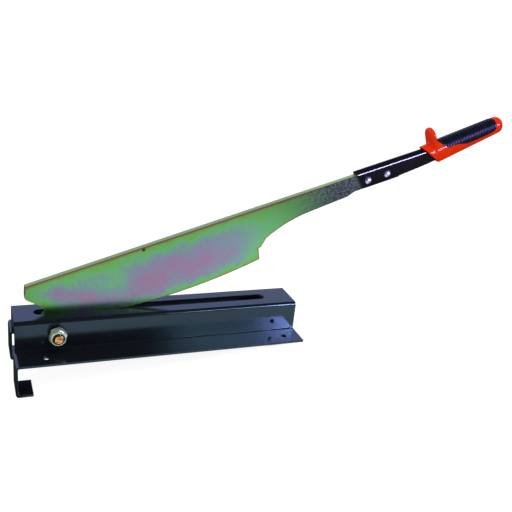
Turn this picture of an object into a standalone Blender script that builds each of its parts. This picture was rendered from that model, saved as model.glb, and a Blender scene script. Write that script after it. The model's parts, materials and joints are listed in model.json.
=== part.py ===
"""Slate cutter: a guillotine blade on a folded steel table, at its real size.

The table is one folded sheet: a hat section with a long slot, two side flanges and, at the left end of each
flange, a hook that goes over the edge of a plank. The blade turns on a bolt near the left end of the slot.
Its tang is riveted into a folded steel channel, and the channel ends in a plastic grip with a hand guard.

Units are metres. +X runs along the table from the hooks to the handle, +Z is up and the table's front is -Y.
The blade and its handle are drawn in the blade's own frame, with the pivot axis at its origin and +X along
the straight spine, and stand open at BLADE_OPEN_ANGLE, as the tool is shown.
"""

import math

import bmesh
import bpy
from mathutils import Vector

# Fits and cuts
FIT_GAP = 0.0003
CUT_OVERRUN = 0.002

# Round pieces: sides of a turned piece, and steps in a quarter of a sheet bend
TURNED_SIDES = 24
BEND_STEPS = 5

# Folded table
SHEET_THICKNESS = 0.003
BEND_INSIDE_RADIUS = 0.0015
TABLE_WIDTH = 0.052
TABLE_BEYOND_SLOT = 0.0385
FLANGE_WIDTH = 0.036
SLOT_HUB_CLEARANCE = 0.0035
SLOT_HEEL_CLEARANCE = 0.0016
SLOT_SIDE_CLEARANCE = 0.0035
SCREW_HOLE_DIAMETER = 0.007
SCREW_HOLE_FROM_WEB = 0.0205
SCREW_HOLE_FROM_LEFT = 0.035
SCREW_HOLE_FROM_RIGHT = 0.0225
WEB_HOLE_DIAMETER = 0.0055
WEB_HOLE_FROM_RIGHT = 0.0335
WEB_HOLE_HEIGHT = 0.0165

# Hooks at the left end of the flanges
HOOK_OVERHANG = 0.002
HOOK_DROP = 0.039
HOOK_RELIEF = 0.0006
FOOT_LENGTH = 0.0205

# Pivot, placed from the table's left end and the flanges' underside
PIVOT_FROM_LEFT = 0.050
PIVOT_HEIGHT = 0.024
WASHER_TABLE_CLEARANCE = 0.002
BOLT_DIAMETER = 0.012
HEX_ACROSS_FLATS = 0.019
HEX_CORNER_ANGLE = math.radians(15)
HEX_CHAMFER_HEIGHT = 0.0012
BOLT_HEAD_HEIGHT = 0.0075
BOLT_END_PROTRUSION = 0.0025
BOLT_END_CHAMFER = 0.0012
NUT_HEX_HEIGHT = 0.009
NUT_COLLAR_HEIGHT = 0.003
NUT_COLLAR_WALL = 0.001
LOCK_RING_THICKNESS = 0.0024
LOCK_RING_WIDTH = 0.0014
PLAIN_WASHER_DIAMETER = 0.020
PLAIN_WASHER_THICKNESS = 0.0025
THRUST_WASHER_DIAMETER = 0.026
THRUST_WASHER_THICKNESS = 0.0015
SPACER_DIAMETER = 0.018
BUSH_WALL = 0.002

# Blade plate: tip and hub
BLADE_OPEN_ANGLE = math.radians(17.7)
BLADE_THICKNESS = 0.008
SPINE_HEIGHT = 0.0628
HUB_RADIUS = 0.022
HUB_SHOULDER_ANGLE = math.radians(8)
THROAT_SETBACK = 0.0035
THROAT_ABOVE_HUB = 0.0045
TIP_TOP_SETBACK = 0.0174
TIP_TOP_RADIUS = 0.0025
TIP_REACH = 0.0230
TIP_DEPTH = 0.0154
TIP_RADIUS = 0.006
SPINE_HOLE_DIAMETER = 0.0032
SPINE_HOLE_REACH = 0.1322
SPINE_HOLE_DEPTH = 0.0034

# Blade plate: cutting edge and the step that stops on the table
EDGE_START_ANGLE = math.radians(1.4)
EDGE_BULGE = 0.0103
HEEL_REACH = 0.2778
HEEL_DEPTH = 0.0086
HEEL_LEAN = 0.0020
STOP_HEIGHT = 0.0076
STOP_WIDTH = 0.0032

# Blade plate: neck and tang, whose heights are measured down from the spine
NECK_CHAMFER = 0.0104
NECK_CORNER_RADIUS = 0.006
NECK_LENGTH = 0.0673
NECK_BULGE = 0.0033
NECK_HEIGHT = 0.0285
ARM_LENGTH = 0.0573
ARM_HEIGHT = 0.0256
TANG_STEP_LENGTH = 0.012
TANG_STEP_RADIUS = 0.012
TANG_HEIGHT = 0.0218
TANG_END_MARGIN = 0.0191

# Handle channel, folded over the tang, straight to its bend and straight again into the grip
CHANNEL_WALL = 0.002
CHANNEL_SIDE_GAP = 0.0005
CHANNEL_FROM_TANG_STEP = 0.0049
CHANNEL_END_LEAN = 0.0076
CHANNEL_DEPTH = 0.0260
CHANNEL_TAIL_DEPTH = 0.0150
CHANNEL_TAIL_LENGTH = 0.0882
BEND_FROM_TANG = 0.030
HANDLE_BEND_RADIUS = 0.570
HANDLE_BEND_ANGLE = math.radians(3.2)

# Rivets through channel and tang
RIVET_DIAMETER = 0.0055
RIVET_HEAD_DIAMETER = 0.0100
RIVET_HEAD_HEIGHT = 0.0032
RIVET_FROM_CHANNEL_END = 0.0160
RIVET_SPACING = 0.0298

# Grip: its covers lie over the channel, above, below and beside it
CHANNEL_IN_GRIP = 0.1095
GRIP_BEYOND_CHANNEL = 0.0235
GRIP_FRONT_LEAN = 0.0225
GRIP_COLLAR_LENGTH = 0.030
GRIP_COLLAR_COVER = 0.0028
GRIP_TOP_COVER = 0.0042
GRIP_UNDER_COVER = 0.0051
GRIP_FRONT_SIDE_COVER = 0.0060
GRIP_REAR_SIDE_COVER = 0.0045
GRIP_END_ROUNDING = 0.009
GRIP_SOCKET_END_GAP = 0.001
GUARD_FROM_FRONT = 0.0181
GUARD_THICKNESS = 0.0056
GUARD_WIDTH = 0.0240
GUARD_HEIGHT = 0.0222
INSERT_FROM_GUARD = 0.0056
INSERT_THICKNESS = 0.0024
INSERT_END_MARGIN = 0.0145

# Shares along the insert, and how far round the grip it reaches there, as a share of half a turn
INSERT_ALONG_SHARES = (0.0, 0.035, 0.115, 0.26, 0.36, 0.45, 0.63, 0.79, 0.94, 0.985, 1.0)
INSERT_WRAP_SHARES = (0.10, 0.29, 0.45, 0.46, 0.51, 0.56, 0.58, 0.58, 0.57, 0.50, 0.36)

# Counts in the grip's mesh, and the fullness of its oval section
GRIP_SIDES = 28
GRIP_STATIONS = 11
GRIP_END_STEPS = 4
INSERT_SIDES = 14
OVAL_POWER = 2.3

# What follows for the blade, its tang and the handle's path, as reaches from the pivot
HALF_BLADE = BLADE_THICKNESS / 2
THROAT_HEIGHT = HUB_RADIUS + THROAT_ABOVE_HUB
STOP_START = HEEL_REACH + HEEL_LEAN
NECK_START = STOP_START + STOP_WIDTH + NECK_CHAMFER
NECK_END = NECK_START + NECK_LENGTH
TANG_STEP_REACH = NECK_END + ARM_LENGTH
TANG_START = TANG_STEP_REACH + TANG_STEP_LENGTH
TANG_BOTTOM = SPINE_HEIGHT - TANG_HEIGHT
CHANNEL_START = TANG_START + CHANNEL_FROM_TANG_STEP
FIRST_RIVET_REACH = CHANNEL_START + RIVET_FROM_CHANNEL_END
LAST_RIVET_REACH = FIRST_RIVET_REACH + RIVET_SPACING
TANG_END = LAST_RIVET_REACH + TANG_END_MARGIN
HANDLE_BEND_START = TANG_END + BEND_FROM_TANG
HANDLE_BEND_END = HANDLE_BEND_START + HANDLE_BEND_ANGLE * HANDLE_BEND_RADIUS
CHANNEL_END = HANDLE_BEND_END + CHANNEL_TAIL_LENGTH
CHANNEL_INSIDE_RADIUS = HALF_BLADE + CHANNEL_SIDE_GAP
CHANNEL_OUTSIDE_RADIUS = CHANNEL_INSIDE_RADIUS + CHANNEL_WALL
CROWN_HEIGHT = SPINE_HEIGHT - math.sqrt((CHANNEL_INSIDE_RADIUS - FIT_GAP) ** 2 - HALF_BLADE**2)
GRIP_START = CHANNEL_END - CHANNEL_IN_GRIP
GRIP_END = CHANNEL_END + GRIP_BEYOND_CHANNEL
GUARD_REACH = GRIP_START + GUARD_FROM_FRONT
INSERT_START = GUARD_REACH + GUARD_THICKNESS / 2 + INSERT_FROM_GUARD
INSERT_END = GRIP_END - INSERT_END_MARGIN

# What follows for the table and for the stack of pieces on the bolt, as distances from its middle plane
BEND_OUTSIDE_RADIUS = BEND_INSIDE_RADIUS + SHEET_THICKNESS
HALF_TABLE = TABLE_WIDTH / 2
TABLE_HEIGHT = PIVOT_HEIGHT + THRUST_WASHER_DIAMETER / 2 + WASHER_TABLE_CLEARANCE + SHEET_THICKNESS
FLANGE_EDGE = HALF_TABLE + FLANGE_WIDTH
FLANGE_FLAT_START = HALF_TABLE + BEND_INSIDE_RADIUS
SLOT_WIDTH = BLADE_THICKNESS + 2 * SLOT_SIDE_CLEARANCE
SLOT_START = PIVOT_FROM_LEFT - HUB_RADIUS - SLOT_HUB_CLEARANCE
SLOT_END = PIVOT_FROM_LEFT + math.hypot(STOP_START, STOP_HEIGHT) + SLOT_HEEL_CLEARANCE
TABLE_LENGTH = SLOT_END + TABLE_BEYOND_SLOT
BOLT_RADIUS = BOLT_DIAMETER / 2
BORE_RADIUS = BOLT_RADIUS + FIT_GAP
BUSH_RADIUS = BORE_RADIUS + BUSH_WALL
THRUST_WASHER_START = HALF_BLADE + FIT_GAP
SPACER_START = THRUST_WASHER_START + THRUST_WASHER_THICKNESS + FIT_GAP
SPACER_END = HALF_TABLE - SHEET_THICKNESS - FIT_GAP
PLAIN_WASHER_START = HALF_TABLE + FIT_GAP
CLAMP_START = PLAIN_WASHER_START + PLAIN_WASHER_THICKNESS + FIT_GAP
NUT_HEX_END = CLAMP_START + NUT_HEX_HEIGHT
NUT_END = NUT_HEX_END + NUT_COLLAR_HEIGHT

QUARTER_TURN = math.pi / 2
SHARP_EDGE_ANGLE = math.radians(35)


def clear_scene():
    """Remove every object, mesh and material that the scene holds."""
    for scene_object in list(bpy.data.objects):
        bpy.data.objects.remove(scene_object, do_unlink=True)
    for mesh in list(bpy.data.meshes):
        bpy.data.meshes.remove(mesh)
    for material in list(bpy.data.materials):
        bpy.data.materials.remove(material)


def make_material(name, colour, roughness, metallic):
    """Return a Principled material of one colour."""
    material = bpy.data.materials.new(name)
    material.use_nodes = True
    shader = material.node_tree.nodes["Principled BSDF"]
    shader.inputs["Base Color"].default_value = (*colour, 1.0)
    shader.inputs["Roughness"].default_value = roughness
    shader.inputs["Metallic"].default_value = metallic
    material.diffuse_color = (*colour, 1.0)
    return material


def add_object(name, mesh, parent=None, material=None, location=(0, 0, 0)):
    """Add an object for a mesh, under a parent and with one material."""
    scene_object = bpy.data.objects.new(name, mesh)
    bpy.context.scene.collection.objects.link(scene_object)
    scene_object.parent = parent
    scene_object.location = location
    if material is not None:
        mesh.materials.append(material)
    mesh.shade_smooth()
    mesh.set_sharp_from_angle(angle=SHARP_EDGE_ANGLE)
    return scene_object


def add_empty(name, parent=None, location=(0, 0, 0), rotation=(0, 0, 0)):
    """Add an empty that carries other objects."""
    empty = bpy.data.objects.new(name, None)
    bpy.context.scene.collection.objects.link(empty)
    empty.parent = parent
    empty.location = location
    empty.rotation_euler = rotation
    return empty


def finish_mesh(name, working_mesh):
    """Turn a bmesh into a mesh whose faces point outward."""
    bmesh.ops.recalc_face_normals(working_mesh, faces=working_mesh.faces)
    mesh = bpy.data.meshes.new(name)
    working_mesh.to_mesh(mesh)
    working_mesh.free()
    return mesh


def prism(name, outline, sweep):
    """Extrude a closed outline of 3-D points along the sweep vector."""
    working_mesh = bmesh.new()
    face = working_mesh.faces.new([working_mesh.verts.new(point) for point in outline])
    extruded = bmesh.ops.extrude_face_region(working_mesh, geom=[face], use_keep_orig=True)
    moved = [item for item in extruded["geom"] if isinstance(item, bmesh.types.BMVert)]
    bmesh.ops.translate(working_mesh, verts=moved, vec=sweep)
    return finish_mesh(name, working_mesh)


def loft(name, rings, closed=False):
    """Skin a row of rings with equal counts in triangles, capped at both ends or closed on itself."""
    working_mesh = bmesh.new()
    rows = [[working_mesh.verts.new(point) for point in ring] for ring in rings]
    pairs = list(zip(rows, rows[1:]))
    if closed:
        pairs.append((rows[-1], rows[0]))
    for low, high in pairs:
        for index, vertex in enumerate(low):
            following = (index + 1) % len(low)
            working_mesh.faces.new((vertex, low[following], high[following]))
            working_mesh.faces.new((vertex, high[following], high[index]))
    if not closed:
        working_mesh.faces.new(rows[0])
        working_mesh.faces.new(rows[-1])
    return finish_mesh(name, working_mesh)


def arc(centre, radius, start, end, steps):
    """Return points of an arc from one angle to another, both ends included."""
    angles = (start + (end - start) * step / steps for step in range(steps + 1))
    return [(centre[0] + radius * math.cos(angle), centre[1] + radius * math.sin(angle)) for angle in angles]


def bulged_arc(first, last, bulge, steps):
    """Return the arc between two points that bulges to the right of the way from first to last."""
    chord = Vector(last) - Vector(first)
    radius = (chord.length**2 / 4 + bulge**2) / (2 * bulge)
    to_left = Vector((-chord.y, chord.x)).normalized()
    centre = (Vector(first) + Vector(last)) / 2 + to_left * (radius - bulge)
    half_sweep = math.asin(chord.length / 2 / radius)
    middle = math.atan2(-to_left.y, -to_left.x)
    return arc(centre, radius, middle - half_sweep, middle + half_sweep, steps)


def fillet(before, corner, after, radius, steps):
    """Return the arc that rounds a corner between two straight sides."""
    to_before = (Vector(before) - Vector(corner)).normalized()
    to_after = (Vector(after) - Vector(corner)).normalized()
    half_opening = to_before.angle(to_after) / 2
    centre = Vector(corner) + (to_before + to_after).normalized() * radius / math.sin(half_opening)
    first = Vector(corner) + to_before * radius / math.tan(half_opening)
    last = Vector(corner) + to_after * radius / math.tan(half_opening)
    sweep = (last - centre).angle_signed(first - centre)
    start = math.atan2(first.y - centre.y, first.x - centre.x)
    return arc(centre, radius, start, start + sweep, steps)


def on_side_plane(points, y):
    """Place (x, z) points on the plane at y."""
    return [(x, y, z) for x, z in points]


def round_ring(radius, y, sides=TURNED_SIDES):
    """Return a circle about the Y axis."""
    angles = (math.tau * index / sides for index in range(sides))
    return [(radius * math.cos(angle), y, radius * math.sin(angle)) for angle in angles]


def hex_ring(across_flats, y):
    """Return a hexagon about the Y axis, with a point for each side of a turned piece and at each corner."""
    count = math.lcm(TURNED_SIDES, 6)
    points = []
    for index in range(count):
        angle = math.tau * index / count
        reach = across_flats / 2 / math.cos((angle - HEX_CORNER_ANGLE) % (math.pi / 3) - math.pi / 6)
        points.append((reach * math.cos(angle), y, reach * math.sin(angle)))
    return points


def tube(name, outside, inside, start, end):
    """Return a tube or washer about the Y axis."""
    corners = ((inside, start), (outside, start), (outside, end), (inside, end))
    return loft(name, [round_ring(radius, y) for radius, y in corners], closed=True)


def apply_boolean(target, operation, tool):
    """Cut a tool from a target, or join it to the target, and hide the tool."""
    modifier = target.modifiers.new(tool.name, "BOOLEAN")
    modifier.operation = operation
    modifier.solver = "EXACT"
    modifier.object = tool
    tool.hide_render = True
    tool.display_type = "WIRE"


def cut_round_hole(target, name, radius, centre, direction, length):
    """Cut a round hole of some length, centred on a point of the target's frame."""
    sides = round_ring(radius, -length / 2), round_ring(radius, length / 2)
    cutter = add_object(name, loft(name, sides), parent=target, location=centre)
    cutter.rotation_euler = Vector((0, 1, 0)).rotation_difference(Vector(direction)).to_euler()
    apply_boolean(target, "DIFFERENCE", cutter)


def hat_half_section():
    """Return the sheet's upper and lower (y, z) lines, from the table's middle to the back flange's edge."""
    top_bend = (HALF_TABLE - BEND_OUTSIDE_RADIUS, TABLE_HEIGHT - BEND_OUTSIDE_RADIUS)
    low_bend = (FLANGE_FLAT_START, BEND_OUTSIDE_RADIUS)
    upper = arc(top_bend, BEND_OUTSIDE_RADIUS, QUARTER_TURN, 0, BEND_STEPS)
    upper += arc(low_bend, BEND_INSIDE_RADIUS, 2 * QUARTER_TURN, 3 * QUARTER_TURN, BEND_STEPS)
    upper.append((FLANGE_EDGE, SHEET_THICKNESS))
    lower = arc(top_bend, BEND_INSIDE_RADIUS, QUARTER_TURN, 0, BEND_STEPS)
    lower += arc(low_bend, BEND_OUTSIDE_RADIUS, 2 * QUARTER_TURN, 3 * QUARTER_TURN, BEND_STEPS)
    lower.append((FLANGE_EDGE, 0))
    return upper, lower


def hook_section():
    """Return the hook's (x, z) outline: a lap of the flange, the drop and the foot."""
    flange_bend = (BEND_OUTSIDE_RADIUS - HOOK_OVERHANG, -BEND_INSIDE_RADIUS)
    foot_bend = (flange_bend[0], BEND_OUTSIDE_RADIUS - HOOK_DROP)
    lap_end = flange_bend[0] + SHEET_THICKNESS
    foot_end = FOOT_LENGTH - HOOK_OVERHANG
    points = [(lap_end, SHEET_THICKNESS)]
    points += arc(flange_bend, BEND_OUTSIDE_RADIUS, QUARTER_TURN, 2 * QUARTER_TURN, BEND_STEPS)
    points += arc(foot_bend, BEND_OUTSIDE_RADIUS, 2 * QUARTER_TURN, 3 * QUARTER_TURN, BEND_STEPS)
    points += [(foot_end, -HOOK_DROP), (foot_end, SHEET_THICKNESS - HOOK_DROP)]
    points += arc(foot_bend, BEND_INSIDE_RADIUS, 3 * QUARTER_TURN, 2 * QUARTER_TURN, BEND_STEPS)
    points += arc(flange_bend, BEND_INSIDE_RADIUS, 2 * QUARTER_TURN, QUARTER_TURN, BEND_STEPS)
    points.append((lap_end, 0))
    return points


def slot_outline():
    """Return the slot's (x, y) outline, with half-round ends."""
    radius = SLOT_WIDTH / 2
    steps = TURNED_SIDES // 2
    left = arc((SLOT_START + radius, 0), radius, QUARTER_TURN, 3 * QUARTER_TURN, steps)
    right = arc((SLOT_END - radius, 0), radius, -QUARTER_TURN, QUARTER_TURN, steps)
    return left + right


def build_base_frame(parent, material):
    """Fold the table, its flanges and its two hooks from one sheet, and punch the slot and the holes."""
    upper, lower = hat_half_section()
    section = [(-y, z) for y, z in reversed(upper)] + upper
    section += list(reversed(lower)) + [(-y, z) for y, z in lower]
    outline = [(0, y, z) for y, z in section]
    base = add_object("base_frame", prism("base_frame", outline, (TABLE_LENGTH, 0, 0)), parent, material)

    sheet_cut = SHEET_THICKNESS + 2 * CUT_OVERRUN
    notch_end = BEND_OUTSIDE_RADIUS - HOOK_OVERHANG
    hook_start = FLANGE_FLAT_START + HOOK_RELIEF
    for side, side_name in ((-1, "front"), (1, "back")):
        near = side * FLANGE_FLAT_START
        far = side * (FLANGE_EDGE + CUT_OVERRUN)
        corners = ((-CUT_OVERRUN, near), (notch_end, near), (notch_end, far), (-CUT_OVERRUN, far))
        notch_points = [(x, y, -CUT_OVERRUN) for x, y in corners]
        notch_name = f"{side_name}_notch_cutter"
        notch = add_object(notch_name, prism(notch_name, notch_points, (0, 0, sheet_cut)), base)
        apply_boolean(base, "DIFFERENCE", notch)
        hook_name = f"{side_name}_hook_guide"
        hook_points = on_side_plane(hook_section(), side * hook_start)
        hook_width = (0, side * (FLANGE_EDGE - hook_start), 0)
        hook = add_object(hook_name, prism(hook_name, hook_points, hook_width), base)
        apply_boolean(base, "UNION", hook)

    slot_points = [(x, y, TABLE_HEIGHT - SHEET_THICKNESS - CUT_OVERRUN) for x, y in slot_outline()]
    slot = add_object("slot_cutter", prism("slot_cutter", slot_points, (0, 0, sheet_cut)), base)
    apply_boolean(base, "DIFFERENCE", slot)

    hole_y = HALF_TABLE + SCREW_HOLE_FROM_WEB
    for hole_x in (SCREW_HOLE_FROM_LEFT, TABLE_LENGTH - SCREW_HOLE_FROM_RIGHT):
        for side in (-1, 1):
            centre = (hole_x, side * hole_y, SHEET_THICKNESS / 2)
            cut_round_hole(base, "screw_hole_cutter", SCREW_HOLE_DIAMETER / 2, centre, (0, 0, 1), sheet_cut)
    across = TABLE_WIDTH + 2 * CUT_OVERRUN
    pivot = (PIVOT_FROM_LEFT, 0, PIVOT_HEIGHT)
    cut_round_hole(base, "pivot_hole_cutter", BORE_RADIUS, pivot, (0, 1, 0), across)
    web_hole = (TABLE_LENGTH - WEB_HOLE_FROM_RIGHT, 0, WEB_HOLE_HEIGHT)
    cut_round_hole(base, "web_hole_cutter", WEB_HOLE_DIAMETER / 2, web_hole, (0, 1, 0), across)


def build_pivot_bolt(parent, material):
    """Make the hexagon bolt: its head behind the back web, its end past the nut at the front."""
    head_end = CLAMP_START + BOLT_HEAD_HEIGHT
    bolt_end = -(NUT_END + BOLT_END_PROTRUSION)
    head_side = hex_ring(HEX_ACROSS_FLATS, CLAMP_START)
    sides = len(head_side)
    rings = [
        round_ring((HEX_ACROSS_FLATS - HEX_CHAMFER_HEIGHT) / 2, head_end, sides),
        hex_ring(HEX_ACROSS_FLATS, head_end - HEX_CHAMFER_HEIGHT),
        head_side,
        round_ring(BOLT_RADIUS, CLAMP_START, sides),
        round_ring(BOLT_RADIUS, bolt_end + BOLT_END_CHAMFER, sides),
        round_ring(BOLT_RADIUS - BOLT_END_CHAMFER, bolt_end, sides),
    ]
    add_object("pivot_bolt", loft("pivot_bolt", rings), parent, material)


def build_pivot_nut(parent, material):
    """Make the self-locking nut: a hexagon with a round collar and a recess for its lock ring."""
    recess_floor = NUT_END - LOCK_RING_THICKNESS - FIT_GAP
    recess_radius = BORE_RADIUS + LOCK_RING_WIDTH + FIT_GAP
    collar_radius = recess_radius + NUT_COLLAR_WALL
    lip = NUT_COLLAR_WALL / 3
    hexagon = hex_ring(HEX_ACROSS_FLATS, -CLAMP_START - HEX_CHAMFER_HEIGHT / 2)
    sides = len(hexagon)
    rings = [
        round_ring(BORE_RADIUS, -CLAMP_START, sides),
        round_ring(HEX_ACROSS_FLATS / 2, -CLAMP_START, sides),
        hexagon,
        hex_ring(HEX_ACROSS_FLATS, HEX_CHAMFER_HEIGHT - NUT_HEX_END),
        round_ring(HEX_ACROSS_FLATS / 2, -NUT_HEX_END, sides),
        round_ring(collar_radius, -NUT_HEX_END, sides),
        round_ring(collar_radius, lip - NUT_END, sides),
        round_ring(collar_radius - lip, -NUT_END, sides),
        round_ring(recess_radius, -NUT_END, sides),
        round_ring(recess_radius, -recess_floor, sides),
        round_ring(BORE_RADIUS, -recess_floor, sides),
    ]
    add_object("pivot_nut", loft("pivot_nut", rings, closed=True), parent, material)


def build_pivot_stack(parent, materials):
    """Line up everything that the bolt clamps between the webs and outside them."""
    build_pivot_bolt(parent, materials["zinc"])
    build_pivot_nut(parent, materials["zinc"])
    ring_end = LOCK_RING_THICKNESS - NUT_END
    lock_ring = tube("nut_lock_ring", BORE_RADIUS + LOCK_RING_WIDTH, BORE_RADIUS, -NUT_END, ring_end)
    add_object("nut_lock_ring", lock_ring, parent, materials["nylon"])
    spacer_length = SPACER_END - SPACER_START
    pieces = (
        ("washer", PLAIN_WASHER_DIAMETER, PLAIN_WASHER_START, PLAIN_WASHER_THICKNESS, "zinc"),
        ("spacer", SPACER_DIAMETER, SPACER_START, spacer_length, "steel"),
        ("thrust_washer", THRUST_WASHER_DIAMETER, THRUST_WASHER_START, THRUST_WASHER_THICKNESS, "bronze"),
    )
    for side, side_name in ((-1, "front"), (1, "back")):
        for kind, diameter, start, thickness, finish in pieces:
            name = f"{side_name}_{kind}"
            mesh = tube(name, diameter / 2, BORE_RADIUS, side * start, side * (start + thickness))
            add_object(name, mesh, parent, materials[finish])


def tip_and_hub_points():
    """Return the blade's outline from the spine's left end over the tip and round the hub to the edge."""
    spine_point = (TANG_END, SPINE_HEIGHT)
    tip_top = (-TIP_TOP_SETBACK, SPINE_HEIGHT)
    tip = (-TIP_REACH, SPINE_HEIGHT - TIP_DEPTH)
    throat = (-THROAT_SETBACK, THROAT_HEIGHT)
    points = fillet(spine_point, tip_top, tip, TIP_TOP_RADIUS, BEND_STEPS)
    points += fillet(tip_top, tip, throat, TIP_RADIUS, BEND_STEPS)
    points.append(throat)
    hub_start = math.atan2(THROAT_HEIGHT, -THROAT_SETBACK) + HUB_SHOULDER_ANGLE
    points += arc((0, 0), HUB_RADIUS, hub_start, math.tau + EDGE_START_ANGLE, TURNED_SIDES)
    return points


def neck_and_tang_points():
    """Return the blade's outline from the heel's top over the stop and the neck to the tang's lower end."""
    heel_top = (STOP_START, STOP_HEIGHT)
    stop_end = (STOP_START + STOP_WIDTH, STOP_HEIGHT)
    neck_start = (NECK_START, STOP_HEIGHT + NECK_CHAMFER)
    neck_end = (NECK_END, SPINE_HEIGHT - NECK_HEIGHT)
    tang_step = (TANG_STEP_REACH, SPINE_HEIGHT - ARM_HEIGHT)
    tang_start = (TANG_START, TANG_BOTTOM)
    tang_end = (TANG_END, TANG_BOTTOM)
    neck = list(reversed(bulged_arc(neck_end, neck_start, NECK_BULGE, TURNED_SIDES // 2)))
    points = [heel_top, stop_end]
    points += fillet(stop_end, neck_start, neck[1], NECK_CORNER_RADIUS, BEND_STEPS)
    points += neck[1:]
    points += fillet(neck_end, tang_step, tang_start, TANG_STEP_RADIUS, BEND_STEPS)
    points += fillet(tang_step, tang_start, tang_end, TANG_STEP_RADIUS, BEND_STEPS)
    points.append(tang_end)
    return points


def blade_outline():
    """Return the blade plate's (x, z) outline, from the tang's end over the spine, tip, hub and edge."""
    points = [(TANG_END, SPINE_HEIGHT)] + tip_and_hub_points()
    points += bulged_arc(points[-1], (HEEL_REACH, -HEEL_DEPTH), EDGE_BULGE, TURNED_SIDES)[1:]
    return points + neck_and_tang_points()


def rivet_places():
    """Return the rivets' centres, half way up the tang."""
    height = TANG_BOTTOM + TANG_HEIGHT / 2
    return [(reach, 0, height) for reach in (FIRST_RIVET_REACH, LAST_RIVET_REACH)]


def build_blade(parent, material):
    """Cut the blade plate, with its bush bore, its rivet holes and the small hole under its spine."""
    outline = on_side_plane(blade_outline(), -HALF_BLADE)
    blade = add_object("blade", prism("blade", outline, (0, BLADE_THICKNESS, 0)), parent, material)
    through = BLADE_THICKNESS + 2 * CUT_OVERRUN
    cut_round_hole(blade, "bush_bore_cutter", BUSH_RADIUS + FIT_GAP, (0, 0, 0), (0, 1, 0), through)
    spine_hole = (SPINE_HOLE_REACH, 0, SPINE_HEIGHT - SPINE_HOLE_DEPTH)
    cut_round_hole(blade, "spine_hole_cutter", SPINE_HOLE_DIAMETER / 2, spine_hole, (0, 1, 0), through)
    for place in rivet_places():
        cut_round_hole(blade, "tang_hole_cutter", RIVET_DIAMETER / 2 + FIT_GAP, place, (0, 1, 0), through)


def build_pivot_bush(parent, material):
    """Make the bush that the blade's hub turns on."""
    bush = tube("pivot_bush", BUSH_RADIUS, BORE_RADIUS, -HALF_BLADE, HALF_BLADE)
    add_object("pivot_bush", bush, parent, material)


def blend(start, end, share):
    """Return the value at some share of the way from start to end."""
    return start + (end - start) * share


def bend_reaches():
    """Return the reaches of the steps that the handle's bend is made of."""
    return [blend(HANDLE_BEND_START, HANDLE_BEND_END, step / BEND_STEPS) for step in range(BEND_STEPS + 1)]


def on_handle_path(reach, rise):
    """Return the (x, z) place at some reach along the handle's bent path and some rise above it."""
    bend = min(max((reach - HANDLE_BEND_START) / HANDLE_BEND_RADIUS, 0), HANDLE_BEND_ANGLE)
    straight = min(reach, HANDLE_BEND_START)
    beyond = max(reach - HANDLE_BEND_END, 0)
    swing = HANDLE_BEND_RADIUS - rise
    x = straight + swing * math.sin(bend) + beyond * math.cos(bend)
    z = CROWN_HEIGHT + HANDLE_BEND_RADIUS - swing * math.cos(bend) + beyond * math.sin(bend)
    return x, z


def along_handle(section, reach, lean=0):
    """Stand a (y, rise) section on the handle's path; lean sets its points back as they lie below its top."""
    top = max(rise for _, rise in section)
    ring = []
    for y, rise in section:
        x, z = on_handle_path(reach + lean * (top - rise), rise)
        ring.append((x, y, z))
    return ring


def channel_depth(reach):
    """Return the channel's depth under its crown, which shrinks from the last rivet to the channel's end."""
    share = max((reach - LAST_RIVET_REACH) / (CHANNEL_END - LAST_RIVET_REACH), 0)
    return blend(CHANNEL_DEPTH, CHANNEL_TAIL_DEPTH, share)


def channel_line(radius, bottom):
    """Return one face of the channel's (y, rise) section, from leg to leg over the crown."""
    return [(-radius, bottom)] + arc((0, 0), radius, math.pi, 0, 2 * BEND_STEPS) + [(radius, bottom)]


def build_handle_channel(parent, material):
    """Fold the channel over the tang and run it along the bent path into the grip."""
    rings = []
    for reach in [CHANNEL_START, LAST_RIVET_REACH, *bend_reaches(), CHANNEL_END]:
        bottom = CHANNEL_OUTSIDE_RADIUS - channel_depth(reach)
        section = channel_line(CHANNEL_OUTSIDE_RADIUS, bottom)
        section += reversed(channel_line(CHANNEL_INSIDE_RADIUS, bottom))
        lean = CHANNEL_END_LEAN / CHANNEL_DEPTH if reach == CHANNEL_START else 0
        rings.append(along_handle(section, reach, lean))
    channel = add_object("handle_channel", loft("handle_channel", rings), parent, material)
    across = 2 * (CHANNEL_OUTSIDE_RADIUS + CUT_OVERRUN)
    for place in rivet_places():
        cut_round_hole(channel, "channel_hole_cutter", RIVET_DIAMETER / 2 + FIT_GAP, place, (0, 1, 0), across)


def build_rivets(parent, material):
    """Set two rivets with a domed head on each side of the channel."""
    head_start = CHANNEL_OUTSIDE_RADIUS + FIT_GAP
    dome_radius = (RIVET_HEAD_DIAMETER**2 / 4 + RIVET_HEAD_HEIGHT**2) / (2 * RIVET_HEAD_HEIGHT)
    dome_opening = math.asin(RIVET_HEAD_DIAMETER / 2 / dome_radius)
    profile = []
    for step in range(1, BEND_STEPS + 1):
        angle = dome_opening * step / BEND_STEPS
        lift = dome_radius * (math.cos(angle) - math.cos(dome_opening))
        profile.append((dome_radius * math.sin(angle), head_start + lift))
    profile.append((RIVET_DIAMETER / 2, head_start))
    profile += [(radius, -y) for radius, y in reversed(profile)]
    rings = [round_ring(radius, y) for radius, y in profile]
    for name, place in zip(("front_rivet", "rear_rivet"), rivet_places()):
        add_object(name, loft(name, rings), parent, material, place)


def grip_top(reach):
    """Return how far the grip's top rises above the path: the channel's crown and the cover over it."""
    share = min(max((reach - GRIP_START) / GRIP_COLLAR_LENGTH, 0), 1)
    return CHANNEL_OUTSIDE_RADIUS + blend(GRIP_COLLAR_COVER, GRIP_TOP_COVER, share)


def grip_half_height(reach):
    """Return half the grip's height: from its top to the cover under the channel's legs."""
    return (grip_top(reach) - CHANNEL_OUTSIDE_RADIUS + channel_depth(reach) + GRIP_UNDER_COVER) / 2


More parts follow.
